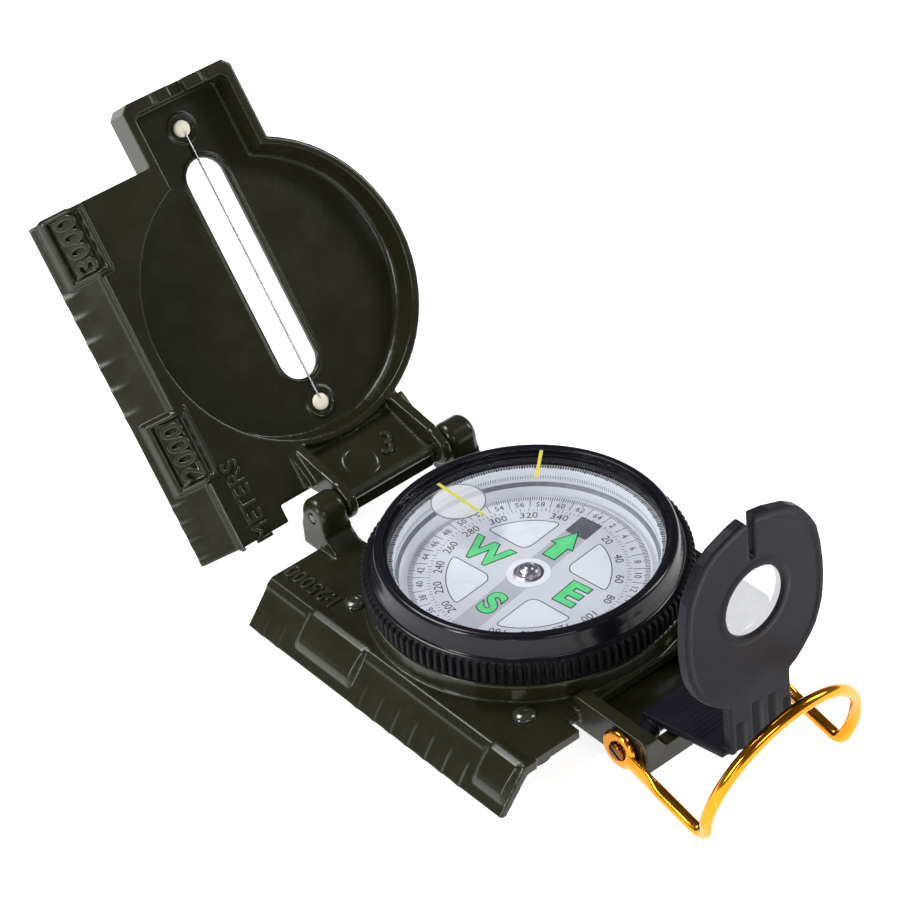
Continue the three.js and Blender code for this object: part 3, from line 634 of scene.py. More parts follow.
def cover_sculpt(v, n):
    x, y, o = v.T
    s = (x - FX) * CD[0] + (o - RIM) * CD[1]
    h = (x - FX) * CN[0] + (o - RIM) * CN[1]
    sc = np.where(x < FX + 0.3, s, -(x - FX))
    out = np.zeros_like(v)
    face = sstep(0.3, 0.7, n[:, 0] * CN[0] + n[:, 2] * CN[1]) * (x < -24.3) * ((h > -0.75) | (o > RIM - 0.4)) * (1 - sstep(61.0, 61.25, y))
    d = np.zeros(len(v))
    inpad = np.zeros(len(v))
    for y0, y1 in PADS_C:
        # shoulder outside, raised frame, sunk field
        a = np.minimum(y - y0, y1 - y)
        b_in, b_out = sc + 1.9, 5.0 - sc
        e = np.minimum(np.minimum(a, b_in), b_out)
        rise = sstep(-0.55, 0.05, a) * sstep(-0.5, 0.1, b_in) * sstep(-1.6, 0.0, b_out)
        d += 0.72 * rise - 0.86 * sstep(0.45, 0.9, e) * (e > 0)
        inpad = np.maximum(inpad, sstep(-0.7, 0.0, a))
    t = np.zeros(len(v))
    for k in TICKS_C:
        u = (k - y) + 0.03 * (s - 5.5) ** 2
        t += 0.13 * np.exp(-(np.where(u > 0, u / 1.5, u / 0.6) ** 2)) * sstep(3.4, 6.6, s)
    bead = 0.40 * np.exp(-(((sc - 0.42) / 0.30) ** 2))
    d += (t + bead) * (1 - inpad)
    out += n * (d * face)[:, None]
    # raised lips round the slot and the two luminous dots
    up = (n[:, 2] > 0.5) & (np.abs(o - FLOOR) < 0.45)
    q = np.clip(y, 19.4 + 3.52, 59.3 - 3.52)
    dc = np.hypot(x, y - q) - 3.52
    lip = sstep(0.10, 0.3, dc) * (1 - sstep(0.6, 0.9, dc))
    for dv in (64.8, 14.76):
        rr = np.hypot(x, y - dv)
        lip = np.maximum(lip * sstep(2.2, 2.6, rr), sstep(2.12, 2.3, rr) * (1 - sstep(2.55, 2.8, rr)))
    out[:, 2] += np.where(up, 0.20 * lip, 0)
    # moulding ring on the panel between the arms
    mid = (n[:, 2] > 0.6) & (np.abs(x) < 9) & (y < 9) & (y > -1)
    rr = np.hypot(x + 2.0, (y - 3.7) * 1.2)
    out += n * (np.where(mid, 0.17 * np.exp(-(((rr - 2.85) / 0.17) ** 2)), 0))[:, None]
    # barrel-rounded knuckles
    rho = np.hypot(y, o)
    kn = (np.abs(x) > 8.6) & (np.abs(x) < 11.2) & (rho > 1.4) & (rho < 3.5)
    t = np.clip((np.abs(np.abs(x) - 9.85) - 0.30) / 0.75, 0, 1)
    k = np.where(kn, -0.42 * t ** 2 * sstep(1.4, 3.0, rho), 0) / np.maximum(rho, 0.1)
    out[:, 1] += y * k
    out[:, 2] += o * k
    # small nicks on the end lip
    lipz = (n[:, 2] > 0.6) & (y > 69.6) & (np.abs(o - RIM) < 0.5)
    for nx in (-5.0, 4.9):
        out[:, 2] -= np.where(lipz, 0.20 * sstep(nx - 0.1, nx + 0.15, x) * (1 - sstep(nx + 0.35, nx + 0.9, x)), 0)
    return out


def corner(vc, sign_x, sign_v):
    pts = [(3.95 * sign_x, vc)] + [(3.52 * math.cos(t) * sign_x, vc + 3.52 * math.sin(t) * sign_v) for t in np.linspace(0, math.pi / 2, 14)]
    pts += [(0, vc + 3.95 * sign_v), (3.95 * sign_x, vc + 3.95 * sign_v)]
    return prism(pts, -11.98, FLOOR, "z")


cover_parts = [cad_part("cover_casting", COVER)]
for sx in (-1, 1):
    cover_parts += [corner(59.3 - 3.52, sx, 1), corner(19.4 + 3.52, sx, -1)]
casting("cover_casting_finished", merge(*cover_parts), COVER, VOX, SM, cover_sculpt, OLIVE, "cover", "cover_casting")


# ------------------------------------------------------------------ raised figures on both bevels
def on_flange(string, s_mid, along, height, depth, M, fold, D, N, width=1.0, bevel=0.07):
    """Figures lying on a sloped bevel, reading away from the hinge side, tops towards the free edge."""
    D3 = np.array([D[0], 0, D[1]])
    N3 = np.array([N[0], 0, N[1]])
    o = np.array([fold[0], along, fold[1]]) + D3 * s_mid + N3 * (-0.18)
    L = np.eye(4)
    L[:3, 0], L[:3, 1], L[:3, 2], L[:3, 3] = (0, 1, 0), D3, N3, o
    return moved(text(string, height, depth, bevel, 0.03, width=width), M @ L)


# the figures, fold bead and mould figure below use the lighter olive, a painted highlight on the cast enamel
bits = [on_flange(t, 1.5, a, 3.7, 0.60, COVER, (FX, RIM), CD, CN, width=0.92, bevel=0.16) for t, a in (("2000", 18.95), ("3000", 55.85))]
v, f = merge(*bits)
make("cover_scale_figures", v, f, OLIVE_HIGHLIT, "cover", sharp=50, clean=False)
L = local((-22.6, 7.2, RIM - 0.10), (0, 1, 0), (-1, 0, 0))
v, f = moved(text("METERS", 2.9, 0.26, 0.10, 0.0, ref="M", width=0.98), COVER @ L)
make("cover_unit_figures", v, f, OLIVE_HIGHLIT, "cover", sharp=50, clean=False)
beads = []
for a, b in ((0.2, 12.4), (25.5, 49.3)):
    path = [(FX + 0.06, t, RIM - 0.06) for t in np.linspace(a, b, 24)]
    beads.append(sweep(path, circle(0.40, 20), frames=np.array([1.0, 0, 0])))
make("cover_fold_bead", *moved(merge(*beads), COVER), OLIVE_HIGHLIT, "cover", sharp=60)
v3, f3 = text("3", 4.6, 0.34, 0.08, -0.02, width=0.80)
v3 = [(a, b, c) for a, b, c in v3]
make("cover_mould_figure", *moved((v3, f3), COVER @ local((3.75, 4.05, -3.72), (0.83, -0.448, 0.332), (0.558, 0.667, -0.495))), OLIVE_HIGHLIT, "cover",
     sharp=50, clean=False)
# the base figures use the lighter olive, a painted highlight on the cast enamel
L = local((-23.45, 25.6, 7.3 - 0.05), (0, 1, 0), (-1, 0, 0))
make("base_scale_figures", *moved(text("1:25000", 2.9, 0.22, 0.09, 0.0, width=0.95), L), OLIVE_HIGHLIT, "base", sharp=50, clean=False)

# ------------------------------------------------------------------ rivets, feet, pins, screws
for tag, x, y, r in (("front_left", -19.55, -20.77, 4.0), ("front_right", 19.55, -20.77, 4.0), ("rear_left", -21.2, 17.5, 3.0),
                     ("rear_right", 21.2, 17.5, 3.0)):
    at = np.eye(4)
    at[:3, 3] = (x, y, 0)
    prof = [(0, 3.4), (0.85, 3.4), (0.85, 7.25), (1.75, 7.25), (1.82, 7.4)] + [
        (1.78 * math.cos(t), 7.45 + 0.72 * math.sin(t)) for t in np.linspace(0.15, math.pi / 2 - 0.5, 7)] + [
        (0.62, 8.12), (0.5, 8.06), (0.3, 8.03), (0, 8.02)]
    v, f = lathe(prof, 40)
    make(f"rivet_{tag}_finished", v, f, RIVET, "base", M=at, node=f"rivet_{tag}", sharp=50)
    foot = fillet([(0, 0.0), (r - 0.35, 0.0), (r, 0.4), (r, 5.44), (0, 5.44)], [0, 0.25, 0.3, 0.3, 0])
    v, f = lathe(foot, 48)
    make(f"foot_{tag}_finished", v, f, RUBBER, "base", M=at, node=f"foot_{tag}", sharp=50)

XAX = lambda y, z: np.array([[0, 0, 1, 0], [1, 0, 0, y], [0, 1, 0, z], [0, 0, 0, 1.0]])
v, f = lathe(fillet([(0, -16.32), (0.55, -16.32), (0.92, -16.15), (0.92, 16.15), (0.55, 16.32), (0, 16.32)], [0, 0.1, 0.2, 0.2, 0.1, 0]), 32)
make("hinge_pin_finished", v, f, RIVET, "base", M=XAX(33.85, 12.3), node="hinge_pin")
v, f = lathe(fillet([(0, -11.6), (0.68, -11.6), (0.68, 11.6), (0, 11.6)], [0, 0.15, 0.15, 0]), 28)
make("lens_arm_pin_finished", v, f, STEEL, "base", M=XAX(-35.3, 6.2), node="lens_arm_pin")


def slotted(name, node, sign):
    head = fillet([(0, 12.25), (0.74, 12.25), (0.74, 13.0), (1.5, 13.0), (1.3, 14.22), (1.5, 14.32), (1.5, 14.62), (1.3, 14.82), (0, 14.86)],
                  [0, 0, 0, 0, 0.05, 0.08, 0.2, 0.3, 0], 4)
    v, f = lathe(head, 48)
    me = bpy.data.meshes.new("h")
    me.from_pydata(v, [], f)
    bm = bmesh.new()
    bm.from_mesh(me)
    bmesh.ops.remove_doubles(bm, verts=bm.verts, dist=1e-4)
    bmesh.ops.recalc_face_normals(bm, faces=bm.faces)
    bm.to_mesh(me)
    bm.free()
    ob = bpy.data.objects.new("h", me)
    bpy.context.scene.collection.objects.link(ob)
    cv, cf = prism(fillet([(-3, -0.28), (3, -0.28), (3, 0.28), (-3, 0.28)], 0.05, 2), 14.6, 16.5)
    t = math.cos(0.6), math.sin(0.6)
    cv = [(a * t[0] - b * t[1], a * t[1] + b * t[0], c) for a, b, c in cv]
    cm = bpy.data.meshes.new("c")
    cm.from_pydata(cv, [], cf)
    co = bpy.data.objects.new("c", cm)
    bpy.context.scene.collection.objects.link(co)
    md = ob.modifiers.new("b", "BOOLEAN")
    md.operation, md.object, md.solver = "DIFFERENCE", co, "EXACT"
    bpy.context.view_layer.update()
    res = bpy.data.meshes.new_from_object(ob.evaluated_get(bpy.context.evaluated_depsgraph_get()))
    rv, rf = [tuple(p.co) for p in res.vertices], [tuple(p.vertices) for p in res.polygons]
    for o in (ob, co):
        bpy.data.objects.remove(o)
    M = XAX(-35.3, 6.2)
    if sign < 0:
        rv = [(a, b, -c) for a, b, c in rv]
    make(name, rv, rf, GOLD_DARK, "base", M=M, node=node, sharp=30)


slotted("loop_screw_left_finished", "loop_screw_left", -1)
slotted("loop_screw_right_finished", "loop_screw_right", 1)

# carried-over nodes that are hidden or seen only from below
for node, m in (("bottom_cover", OLIVE), ("bezel_snap_ring", STEEL), ("bottom_screw_1", STEEL), ("bottom_screw_2", STEEL),
                ("bottom_screw_3", STEEL), ("pivot_post", STEEL)):
    o = NODES[node]
    o.data.materials.clear()
    o.data.materials.append(m)
    if node == "bottom_cover":
        o.data.polygons.foreach_set("use_smooth", [True] * len(o.data.polygons))
        o.data.set_sharp_from_angle(angle=30 * DEG)

# ------------------------------------------------------------------ capsule
cup = fillet([(0, 1.1), (21.95, 1.1), (21.95, 15.32), (20.75, 15.32), (20.75, 12.5), (20.55, 12.3), (20.2, 12.1), (20.2, 9.6), (20.4, 9.4),
              (20.4, 2.5), (1.2, 2.5), (1.2, 3.4), (0.46, 3.4), (0.46, 2.1), (0, 2.1)],
             [0, 0, 0.12, 0.18, 0.1, 0.1, 0.2, 0.2, 0.1, 0.4, 0.1, 0.1, 0, 0, 0], 3)
v, f = lathe(cup, 192)
make("capsule_cup_finished", v, f, WHITE, "base", node="capsule_cup", sharp=30)
v, f = lathe(fillet([(21.62, 15.36), (21.95, 15.36), (21.95, 16.98), (21.62, 16.98)], 0.06, 2), 192)
make("capsule_gasket", v, f, BLACK, "base", node="capsule_cup", sharp=30)
v, f = lathe(fillet([(20.18, 12.16), (20.5, 12.36), (20.66, 12.62), (20.74, 12.72), (20.74, 12.28), (20.3, 12.0)], 0.02, 1), 192)
make("capsule_step_shadow_ring", v, f, INK_SOFT, "base", sharp=30)
tk = []
for i in range(320):
    az = i * 360 / 320
    tk.append(radial_box(20.95 if i % 5 else 20.86, 21.58, 0.115 if i % 5 else 0.15, az, 15.31, 15.345))
v, f = merge(*tk)
make("capsule_scale_marks", v, f, INK, "base", smooth=False, clean=False)
tk = []
for i in range(320):
    az = i * 360 / 320
    tk.append(radial_box(20.735, 20.79, 0.06, az, 13.3, 13.95))
v, f = merge(*tk)
make("capsule_wall_marks", v, f, INK_SOFT, "base", smooth=False, clean=False)
v, f = lathe(fillet([(0, 16.22), (21.28, 16.22), (21.28, 16.98), (0, 16.98)], [0, 0.08, 0.08, 0], 3), 192)
make("fixed_crystal_finished", v, f, CRYSTAL, "base", node="fixed_crystal", sharp=40)
at = np.eye(4)
at[:3, 3] = (0, 16.3, 0)
dome = [(0, 15.60), (2.0, 15.64), (3.4, 15.76), (4.1, 15.92), (4.35, 16.05), (4.35, 16.18), (0, 16.18)]
v, f = lathe(fillet(dome, [0, 1, 1, 0.5, 0.05, 0.02, 0], 3), 72)
make("magnifier_disc_finished", v, f, MAGN, "base", M=at, node="magnifier_disc", sharp=40)
v, f = lathe(fillet([(4.22, 16.08), (4.40, 16.02), (4.46, 16.18), (4.22, 16.2)], 0.03, 2), 96)
make("magnifier_rim", v, f, INK_SOFT, "base", M=at, sharp=40)
v, f = prism(fillet([(-0.2, 9.6), (0.2, 9.6), (0.3, 21.2), (-0.3, 21.2)], 0.1, 3), 17.0, 17.07)
make("fixed_index_line_finished", v, f, YELLOW, "base", node="fixed_index_line", sharp=30)

# ------------------------------------------------------------------ rotating bezel
TEETH = 120
OUT = [(22.98, 10.92), (25.55, 10.92), (25.75, 11.1)]


def knurl(r, z, a):
    if r < 25.45 or z > 14.75:
        return r
    ph = ((a * TEETH / (2 * math.pi)) + 0.12) % 1.0
    tooth = 0.5 - 0.5 * math.cos(2 * math.pi * ph)
    tooth = float(np.clip(tooth * 2.6 - 0.75, 0, 1))
    fade = min(1.0, max(0.0, (14.66 - z) / 0.40)) * min(1.0, max(0.0, (z - 10.95) / 0.3))
    return r - 0.72 * (1 - tooth) * fade


prof = [(22.98, 10.92)] + [(25.6, 10.92), (25.82, 11.0), (25.98, 11.2), (26.0, 11.5), (26.0, 12.4), (26.0, 13.3), (26.0, 13.9),
                           (25.96, 14.1), (25.8, 14.3), (25.6, 14.48), (25.3, 14.6)]
prof += fillet([(25.3, 14.6), (24.5, 14.66), (24.02, 16.2), (23.55, 18.36), (22.2, 18.36), (22.2, 17.5), (21.62, 17.5),
                (21.62, 17.27), (22.3, 17.27), (22.3, 13.7), (22.98, 13.3), (22.98, 12.7), (23.4, 12.6), (23.4, 11.9), (22.98, 11.8)],
               [0, 0.7, 2.4, 1.15, 0.16, 0.04, 0.03, 0.03, 0, 0, 0, 0, 0, 0, 0], 9)[1:]
v, f = lathe(prof, TEETH * (10), knurl)
ring = make("bezel_ring_finished", v, f, BLACK, "bezel", node="bezel_ring", sharp=48)
ring.data.materials.append(KNURL)
for p in ring.data.polygons:
    if p.center.z < 14.66 * MM and math.hypot(p.center.x, p.center.y) > 24.9 * MM:
        p.material_index = 1
v, f = lathe(fillet([(0, 17.53), (22.17, 17.53), (22.17, 18.07), (0, 18.07)], [0, 0.05, 0.08, 0], 3), 192)
make("bezel_crystal_finished", v, f, CRYSTAL, "bezel", node="bezel_crystal", sharp=40)
s, c = math.sin(48 * DEG), math.cos(48 * DEG)
P = lambda u, w: (u * s + w * c, u * c - w * s)
v, f = prism(fillet([P(14.9, -0.26), P(21.9, -0.28), P(21.9, 0.28), P(14.9, 0.26)], 0.12, 3), 18.08, 18.16)
make("luminous_line_finished", v, f, YELLOW, "bezel", node="luminous_line", sharp=30)

# ------------------------------------------------------------------ floating card
NAZ = 81.6                        # where the card's north points, clockwise from +Y
NORTH = turn_z(-NAZ)              # card frame: north along +Y, east along +X
Z0 = 10.95
v, f = lathe(fillet([(1.9, 10.6), (19.2, 10.6), (19.35, 10.7), (19.35, 10.88), (19.2, Z0), (1.9, Z0)], [0, 0.05, 0.05, 0.05, 0.05, 0], 2), 160)
make("compass_card_finished", v, f, CARDM, "card", node="compass_card", sharp=35)
# printed band over the magnet, wider at the middle
band = [(-2.1, -17.2), (2.1, -17.2), (2.1, -3.2), (3.0, -1.6), (3.0, 1.6), (2.1, 3.2), (2.1, 11.4), (-2.1, 11.4), (-2.1, 3.2), (-3.0, 1.6),
        (-3.0, -1.6), (-2.1, -3.2)]
v, f = prism(fillet(band, 0.5, 4), Z0 - 0.02, Z0 + 0.006)
make("dial_band", v, f, BAND, "card", M=NORTH, sharp=30)
v, f = prism(fillet([(-2.1, 11.35), (2.1, 11.35), (2.1, 15.7), (-2.1, 15.7)], 0.25, 4), Z0 - 0.02, Z0 + 0.008)
make("dial_magnet_end", v, f, MAGNET, "card", M=NORTH, sharp=30)


def window_path():
    pts = []
    corners = [(3.95, 4.05), (12.55, 3.7), (4.5, 12.0)]
    arc = [(12.95 * math.cos(t), 12.95 * math.sin(t)) for t in np.linspace(math.atan2(3.7, 12.4), math.atan2(12.1, 4.4), 18)]
    raw = [corners[0]] + [(12.35, 3.72)] + arc[2:-2] + [(4.4, 12.15)]
    return fillet(raw, [1.7, 1.25] + [0.0] * (len(arc) - 4) + [1.25], 7)


def ribbon(path, half, z0, z1):
    P = np.array(path + [path[0]], float)[:-1]
    T = np.roll(P, -1, 0) - np.roll(P, 1, 0)
    T /= np.linalg.norm(T, axis=1)[:, None]
    Nn = np.c_[-T[:, 1], T[:, 0]]
    n, v, f = len(P), [], []
    for side, z in ((-half, z0), (half, z0), (half, z1), (-half, z1)):
        v += [(p[0] + q[0] * side, p[1] + q[1] * side, z) for p, q in zip(P, Nn)]
    for i in range(n):
        k = (i + 1) % n
        for a, b in ((0, 1), (1, 2), (2, 3), (3, 0)):
            f.append((a * n + i, a * n + k, b * n + k, b * n + i))
    return v, f


wins, rims = [], []
for q in range(4):
    w = window_path()
    t = q * 90 * DEG
    w = [(a * math.cos(t) - b * math.sin(t), a * math.sin(t) + b * math.cos(t)) for a, b in w]
    wins.append(prism(w, Z0 - 0.02, Z0 + 0.010))
    rims.append(ribbon(w, 0.075, Z0 - 0.02, Z0 + 0.022))
v, f = merge(*wins)
make("dial_windows", v, f, WINDOW, "card", M=NORTH, sharp=30, clean=False)
v, f = merge(*rims)
make("dial_window_outlines", v, f, INK, "card", M=NORTH, smooth=False)

# degree and mil scales
marks = []
for i in range(320):
    long = i % 5 == 0
    marks.append(radial_box(17.95 if long else 18.15, 18.98, 0.062 if not long else 0.075, i * 360 / 320 + NAZ, Z0 - 0.02, Z0 + 0.016))
for i in range(32):
    marks.append(radial_box(16.35, 17.95, 0.055, (i + 0.5) * 360 / 32 + NAZ, Z0 - 0.02, Z0 + 0.016))
for i in range(144):
    r1 = 16.15 if i % 4 == 0 else (15.95 if i % 2 == 0 else 15.75)
    marks.append(radial_box(15.35, r1, 0.045, i * 2.5 + NAZ, Z0 - 0.02, Z0 + 0.016))
v, f = merge(*marks)
make("dial_scale_marks", v, f, INK, "card", smooth=False, clean=False)


def ring_text(items, radius, height, fat, width=1.0):
    out = []
    for string, az in items:
        a = az * DEG
        up = (math.sin(a), math.cos(a), 0)
        right = (math.cos(a), -math.sin(a), 0)
        out.append(moved(text(string, height, 0.03, 0, fat, width=width, res=2),
                         local((radius * up[0], radius * up[1], Z0 - 0.01), right, up)))
    return merge(*out)


v, f = ring_text([(str(d), d + NAZ) for d in range(20, 361, 20) if d % 90], 14.30, 1.42, -0.004)
make("dial_degree_figures", v, f, INK, "card", smooth=False, clean=False)
v, f = ring_text([(str(m), m * 360 / 64 + NAZ) for m in range(2, 65, 2)], 17.05, 1.16, -0.004, 0.95)
make("dial_mil_figures", v, f, INK, "card", smooth=False, clean=False)

# cardinal letters and the north arrow: dark outline with green on top
LET = [("W", -8.72, 0.0, 5.3, 0.98), ("E", 8.75, 0.1, 5.3, 1.12), ("S", 0.0, -8.75, 5.2, 0.95)]
for part, fat, z0, z1, m in (("outline", 0.42, Z0 - 0.02, Z0 + 0.03, GREEN_EDGE), ("fill", 0.24, Z0 + 0.0, Z0 + 0.05, GREEN)):
    ps = []
    for ch, x, y, hh, wd in LET:
        t = text(ch, hh - 0.55, z1 - z0, 0, fat, ref=ch, width=wd, res=8)
        ps.append(moved(t, local((x, y, z0), (1, 0, 0), (0, 1, 0))))
    g = 0.0 if part == "fill" else 0.2
    arrow = [(-1.12 - g, 4.9 - g), (1.12 + g, 4.9 - g), (1.12 + g, 8.2 - g), (2.0 + 1.6 * g, 8.2 - g), (0, 12.0 + 2 * g), (-2.0 - 1.6 * g, 8.2 - g),
             (-1.12 - g, 8.2 - g)]
    ps.append(prism(arrow, z0, z1))
    v, f = merge(*ps)
    make(f"dial_letters_{part}", v, f, m, "card", M=NORTH, smooth=False, clean=False)

mg = prism(fillet([(-1.95, -15.6), (1.95, -15.6), (1.95, 15.6), (-1.95, 15.6)], 0.3, 4), 9.5, 10.58)
v, f = mg
make("magnet_bar_finished", v, f, MAGNET, "card", M=NORTH, node="magnet_bar", sharp=30)
hub = [(0.72, 9.9), (1.2, 9.95), (1.2, 10.7), (2.45, 10.8), (2.5, 10.98), (2.42, 11.12), (1.95, 11.2), (1.86, 11.34), (1.78, 11.62), (1.5, 11.95),
       (1.18, 12.1), (1.05, 12.06), (0.92, 12.12), (0.62, 12.32), (0.3, 12.4), (0, 12.42), (0, 11.2)]
v, f = lathe(fillet(hub, [0, 0, 0, 0.1, 0.08, 0.1, 0.1, 0.1, 0.2, 0.3, 0.1, 0.06, 0.1, 0.3, 0.3, 0, 0], 3), 64)
make("jewel_hub_finished", v, f, CHROME, "card", node="jewel_hub", sharp=40)
v, f = lathe(fillet([(1.9, 10.96), (3.5, 10.96), (3.55, 11.02), (3.4, 11.10), (2.5, 11.10), (1.9, 11.16)], 0.04, 2), 72)
make("hub_seat_ring", v, f, WHITE, "card", sharp=35)

# ------------------------------------------------------------------ sighting wire and dots
for i, dv in enumerate((64.8, 14.76)):
    at = COVER.copy()
    at[:3, 3] = COVER[:3, :3] @ np.array([0, dv, 0]) + COVER[:3, 3]
    dot = [(0, -11.12), (1.40, -11.12), (1.42, -10.70), (1.30, -10.48), (0.9, -10.38), (0, -10.34)]
    v, f = lathe(fillet(dot, [0, 0.05, 0.1, 0.2, 0.3, 0], 3), 40)
    make(f"luminous_dot_{'lower' if i else 'upper'}_finished", v, f, IVORY, "cover", M=at, node=f"luminous_dot_{'lower' if i else 'upper'}")
path = [(0.0, vv, -10.5) for vv in np.linspace(15.3, 64.3, 60)]
v, f = sweep(path, circle(0.21, 12), frames=np.array([1.0, 0, 0]))
make("sighting_wire_finished", v, f, WIRE, "cover", M=COVER, node="sighting_wire", sharp=60)

# ------------------------------------------------------------------ lens arm
half = [(0, 15), (3.4, 14.3), (7.3, 12.9), (9.3, 11.5), (10.2, 10.4), (11.4, 8.6), (12.5, 6.5), (13.2, 3.2), (13.5, 0), (13.6, -2.5), (13.4, -5),
        (13.2, -6.8), (12.6, -8.8), (11.7, -10.9), (10.6, -12.4), (9.3, -13.7), (7.6, -15.2), (6.05, -16)]


def smooth_line(pts, n=6, closed=False):
    P = np.array(pts, float)
    out = []
    N = len(P)
    for i in range(N - (0 if closed else 1)):
        p0, p1, p2, p3 = (P[(i - 1) % N] if closed or i else P[0] * 2 - P[1]), P[i], P[(i + 1) % N], (
            P[(i + 2) % N] if closed or i + 2 < N else P[-1] * 2 - P[-2])
        for k in range(n):
            t = k / n
            out.append(0.5 * (2 * p1 + (p2 - p0) * t + (2 * p0 - 5 * p1 + 4 * p2 - p3) * t * t + (3 * p1 - p0 - 3 * p2 + p3) * t ** 3))
    if not closed:
        out.append(P[-1])
    return np.array(out)


rim_right = smooth_line(half[:-1], 5)
fingers = ((-4.6, -19.3), (-1.3, -17.4), (1.9, -17.9), (4.9, -20.4))


def arm_sculpt(v, n):
    x, w, d = v.T           # d is the disc's thickness direction, positive towards the eye
    out = np.zeros_like(v)
    r = np.hypot(x, w)
    front = (n[:, 2] > 0.55) & (np.abs(d - 0.95) < 0.4)
    # a shallow dish in the disc face inside its thicker edge, and a lip round the lens
    R = np.interp(np.degrees(np.arctan2(np.abs(x), w)), np.degrees(np.arctan2([p[0] for p in half], [p[1] for p in half])),
                  [math.hypot(*p) for p in half])
    inner = (1 - sstep(-1.5, -0.8, r - R)) * sstep(6.3, 7.2, r) * sstep(-14.5, -9.0, w)
    out[:, 2] -= np.where(front, 0.16 * inner, 0)
    # finger grooves down the foot
    for gx, top in fingers:
        g = np.exp(-(((x - gx) / 0.34) ** 2)) * (1 - sstep(top - 0.9, top, w))
        out[:, 2] -= 0.42 * g * sstep(0.2, 0.6, n[:, 2])
        b = np.exp(-(((x - gx - 0.95) / 0.5) ** 2)) * (1 - sstep(top - 1.4, top - 0.4, w))
        out[:, 2] += 0.12 * b * sstep(0.2, 0.6, n[:, 2])
    return out


inv = np.linalg.inv(DISC)
sleeve = [moved(lathe([(0.72, s0), (1.55, s0), (1.55, s1), (0.72, s1)], 40), inv @ XAX(-35.3, 6.2)) for s0, s1 in ((-10.3, -6.9), (6.9, 10.3))]
arm = merge(cad_part("lens_arm", DISC), *sleeve)
nick = prism([(-2.0, 15.6), (0.1, 15.6), (-0.2, 14.1), (-0.55, 13.6)], -2, 2)
casting("lens_arm_finished", arm, DISC, 0.16, 6, arm_sculpt, PLASTIC, "lens_arm", "lens_arm", cut=[nick])
# fine anti-slip lines across the arm
lines = []
for i in range(11):
    y = -34.6 - i * 1.05
    zt = 7.86 - 0.193 * (y + 32.87)
    lines.append(sweep([(x, y, zt + 0.0) for x in np.linspace(-6.6, 6.6, 8)], circle(0.13, 8), frames=np.array([0, 1.0, 0])))
v, f = merge(*lines)
make("lens_arm_grip_lines", v, f, PLASTIC, "lens_arm", sharp=60)
lens = [(0, -0.50), (1.5, -0.49), (3, -0.455), (4.4, -0.395), (5.55, -0.31), (5.6, 0), (5.55, 0.31), (4.4, 0.395), (3, 0.455), (1.5, 0.49), (0, 0.50)]
v, f = lathe(lens, 96)
make("sight_lens_finished", v, f, GLASS, "lens_arm", M=DISC, node="sight_lens", sharp=40)

# ------------------------------------------------------------------ thumb loop
a = 15.07 * DEG
LP = lambda x, e, h: np.array([x, -35.3 - e * math.cos(a) - h * math.sin(a), 6.2 - e * math.sin(a) + h * math.cos(a)])
side = [(14.0, 2.2, 0), (14.05, 5, 0), (14.1, 9, 0), (14.1, 13, 0), (14.1, 16.4, 0), (14.1, 17.8, 0.28), (14.2, 18.62, 1.3), (14.6, 18.85, 3.1)]
arch = [(15.0 * math.cos(t), 18.85, 5.0 + 15.0 * math.sin(t)) for t in np.linspace(0, math.pi / 2, 12)]
right = side + arch
pts = [LP(-x, e, h) for x, e, h in right] + [LP(x, e, h) for x, e, h in reversed(right[:-1])]
cl = smooth_line(pts, 14)
PIV = np.array([0, -35.3, 6.2])
axis_e = np.array([0, -math.cos(a), -math.sin(a)])
secs, frs = [], []
for p in cl:
    e = (p - PIV) @ axis_e
    h = (p - PIV) @ np.array([0, -math.sin(a), math.cos(a)])
    k = 1 - sstep(5.5, 9.5, e) if h < 1 else 0.0      # 1 at the flattened end
    secs.append([(1.0 * (1 - 0.42 * k) * math.cos(q), 1.0 * (1 + 0.75 * k * (1 - 0.2 * k)) * math.sin(q)) for q in np.linspace(0, 2 * math.pi, 25)[:-1]])
    frs.append((1.0, 0, 0) if h < 1.2 or True else (0, 0, 1))
# the side vector starts along X on the arms and is carried along the wire
T = np.gradient(cl, axis=0)
T /= np.linalg.norm(T, axis=1)[:, None]
sd = np.array([1.0, 0, 0])
carried = []
for i in range(len(cl)):
    sd = sd - T[i] * (sd @ T[i])
    sd /= np.linalg.norm(sd)
    carried.append(sd.copy())
v1, f1 = sweep(cl, secs, frames=np.array(carried))
eye = fillet([(1.62, 13.14), (3.05, 13.14), (3.35, 13.45), (3.35, 13.95), (3.05, 14.26), (1.62, 14.26)], [0.12, 0.3, 0.35, 0.35, 0.3, 0.12], 4)
e1 = moved(lathe(eye, 56), XAX(-35.3, 6.2))
e2 = ([(-p[0], p[1], p[2]) for p in e1[0]], [tuple(reversed(q)) for q in e1[1]])
v, f = merge((v1, f1), e1, e2)
make("thumb_loop_finished", v, f, GOLD, "thumb_loop", node="thumb_loop", sharp=55)

# ------------------------------------------------------------------ stage, lights, camera
def stage_mesh(name, verts, faces, m):
    me = bpy.data.meshes.new(name)
    me.from_pydata(verts, [], faces)
    o = bpy.data.objects.new(name, me)
    bpy.context.scene.collection.objects.link(o)
    me.materials.append(m)
    return o


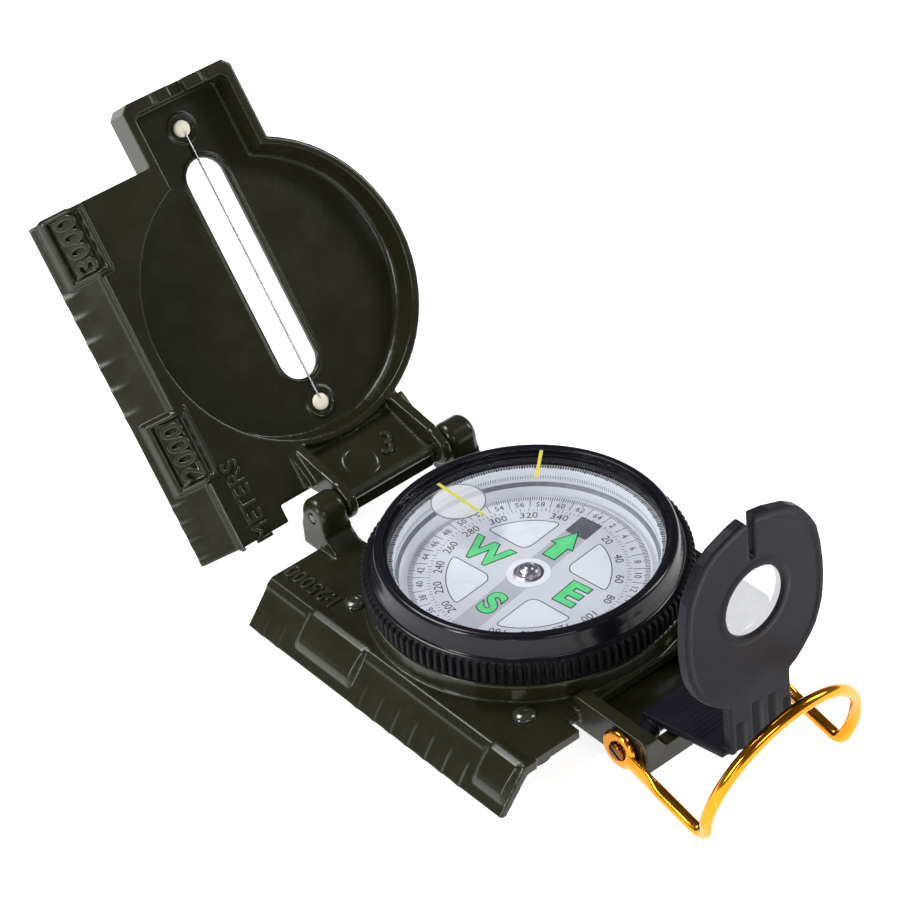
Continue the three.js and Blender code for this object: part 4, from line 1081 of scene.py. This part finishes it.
fm, nt, out = new_mat("studio_floor")
b = add(nt, "ShaderNodeBsdfPrincipled")
b.inputs["Roughness"].default_value = 0.9
b.inputs["Specular IOR Level"].default_value = 0.1
nt.links.new(ramp(nt, noise(nt, coords(nt), 3.0), [(0.3, (0.86, 0.86, 0.86)), (0.7, (0.88, 0.88, 0.88))]), b.inputs["Base Color"])
b.inputs["Emission Color"].default_value = (1, 1, 1, 1)
b.inputs["Emission Strength"].default_value = 0.84
nt.links.new(b.outputs[0], out.inputs[0])
stage_mesh("studio_floor", [(-4, -4, 0), (4, -4, 0), (4, 4, 0), (-4, 4, 0)], [(0, 1, 2, 3)], fm)

world = bpy.data.worlds.new("studio")
bpy.context.scene.world = world
world.use_nodes = True
wn = world.node_tree
bg = wn.nodes["Background"]
tc = wn.nodes.new("ShaderNodeTexCoord")
sep = wn.nodes.new("ShaderNodeSeparateXYZ")
wn.links.new(tc.outputs["Generated"], sep.inputs[0])
cr = wn.nodes.new("ShaderNodeValToRGB")
cr.color_ramp.elements[0].position, cr.color_ramp.elements[0].color = 0.0, (0.36, 0.36, 0.375, 1)
cr.color_ramp.elements[1].position, cr.color_ramp.elements[1].color = 0.60, (0.10, 0.10, 0.105, 1)
e = cr.color_ramp.elements.new(0.22)
e.color = (0.20, 0.20, 0.21, 1)
wn.links.new(sep.outputs["Z"], cr.inputs["Fac"])
wn.links.new(cr.outputs["Color"], bg.inputs["Color"])
bg.inputs["Strength"].default_value = 0.9


def softbox(name, at, target, size, power, size_y=None):
    li = bpy.data.lights.new(name, "AREA")
    li.shape = "RECTANGLE"
    li.size, li.size_y, li.energy = size, size_y or size, power
    o = bpy.data.objects.new(name, li)
    bpy.context.scene.collection.objects.link(o)
    o.location = at
    o.rotation_mode = "QUATERNION"
    o.rotation_quaternion = (Vector(target) - Vector(at)).to_track_quat("-Z", "Y")
    return o


C0 = (0, 0.012, 0.02)
softbox("key_softbox", (-0.10, 0.30, 0.55), C0, 0.30, 2.6, 0.20)
softbox("left_softbox", (-0.60, 0.02, 0.30), C0, 0.10, 1.9, 0.34)
softbox("low_left_strip", (-0.54, -0.40, 0.14), C0, 0.08, 0.22, 0.20)
softbox("right_softbox", (0.52, -0.22, 0.40), C0, 0.14, 1.7, 0.30)
softbox("front_softbox", (-0.16, -0.62, 0.42), C0, 0.34, 0.9, 0.12)

cam = bpy.data.cameras.new("camera")
cam.lens, cam.sensor_width, cam.sensor_fit = 120.0, 36.0, "HORIZONTAL"
cam.clip_start, cam.clip_end = 0.02, 20.0
co = bpy.data.objects.new("camera", cam)
bpy.context.scene.collection.objects.link(co)
right_v, down_v, fwd_v = Vector((0.76032, -0.6445, -0.08088)), Vector((-0.44383, -0.42456, -0.78916)), Vector((0.47427, 0.6359, -0.60885))
m = Matrix((right_v, -down_v, -fwd_v)).transposed().to_4x4()
m.translation = Vector((-0.222107, -0.280696, 0.311149))
co.matrix_world = m
bpy.context.scene.camera = co
bpy.context.scene.view_settings.view_transform = "Standard"
bpy.context.scene.view_settings.look = "None"
bpy.context.scene.cycles.transparent_max_bounces = 32
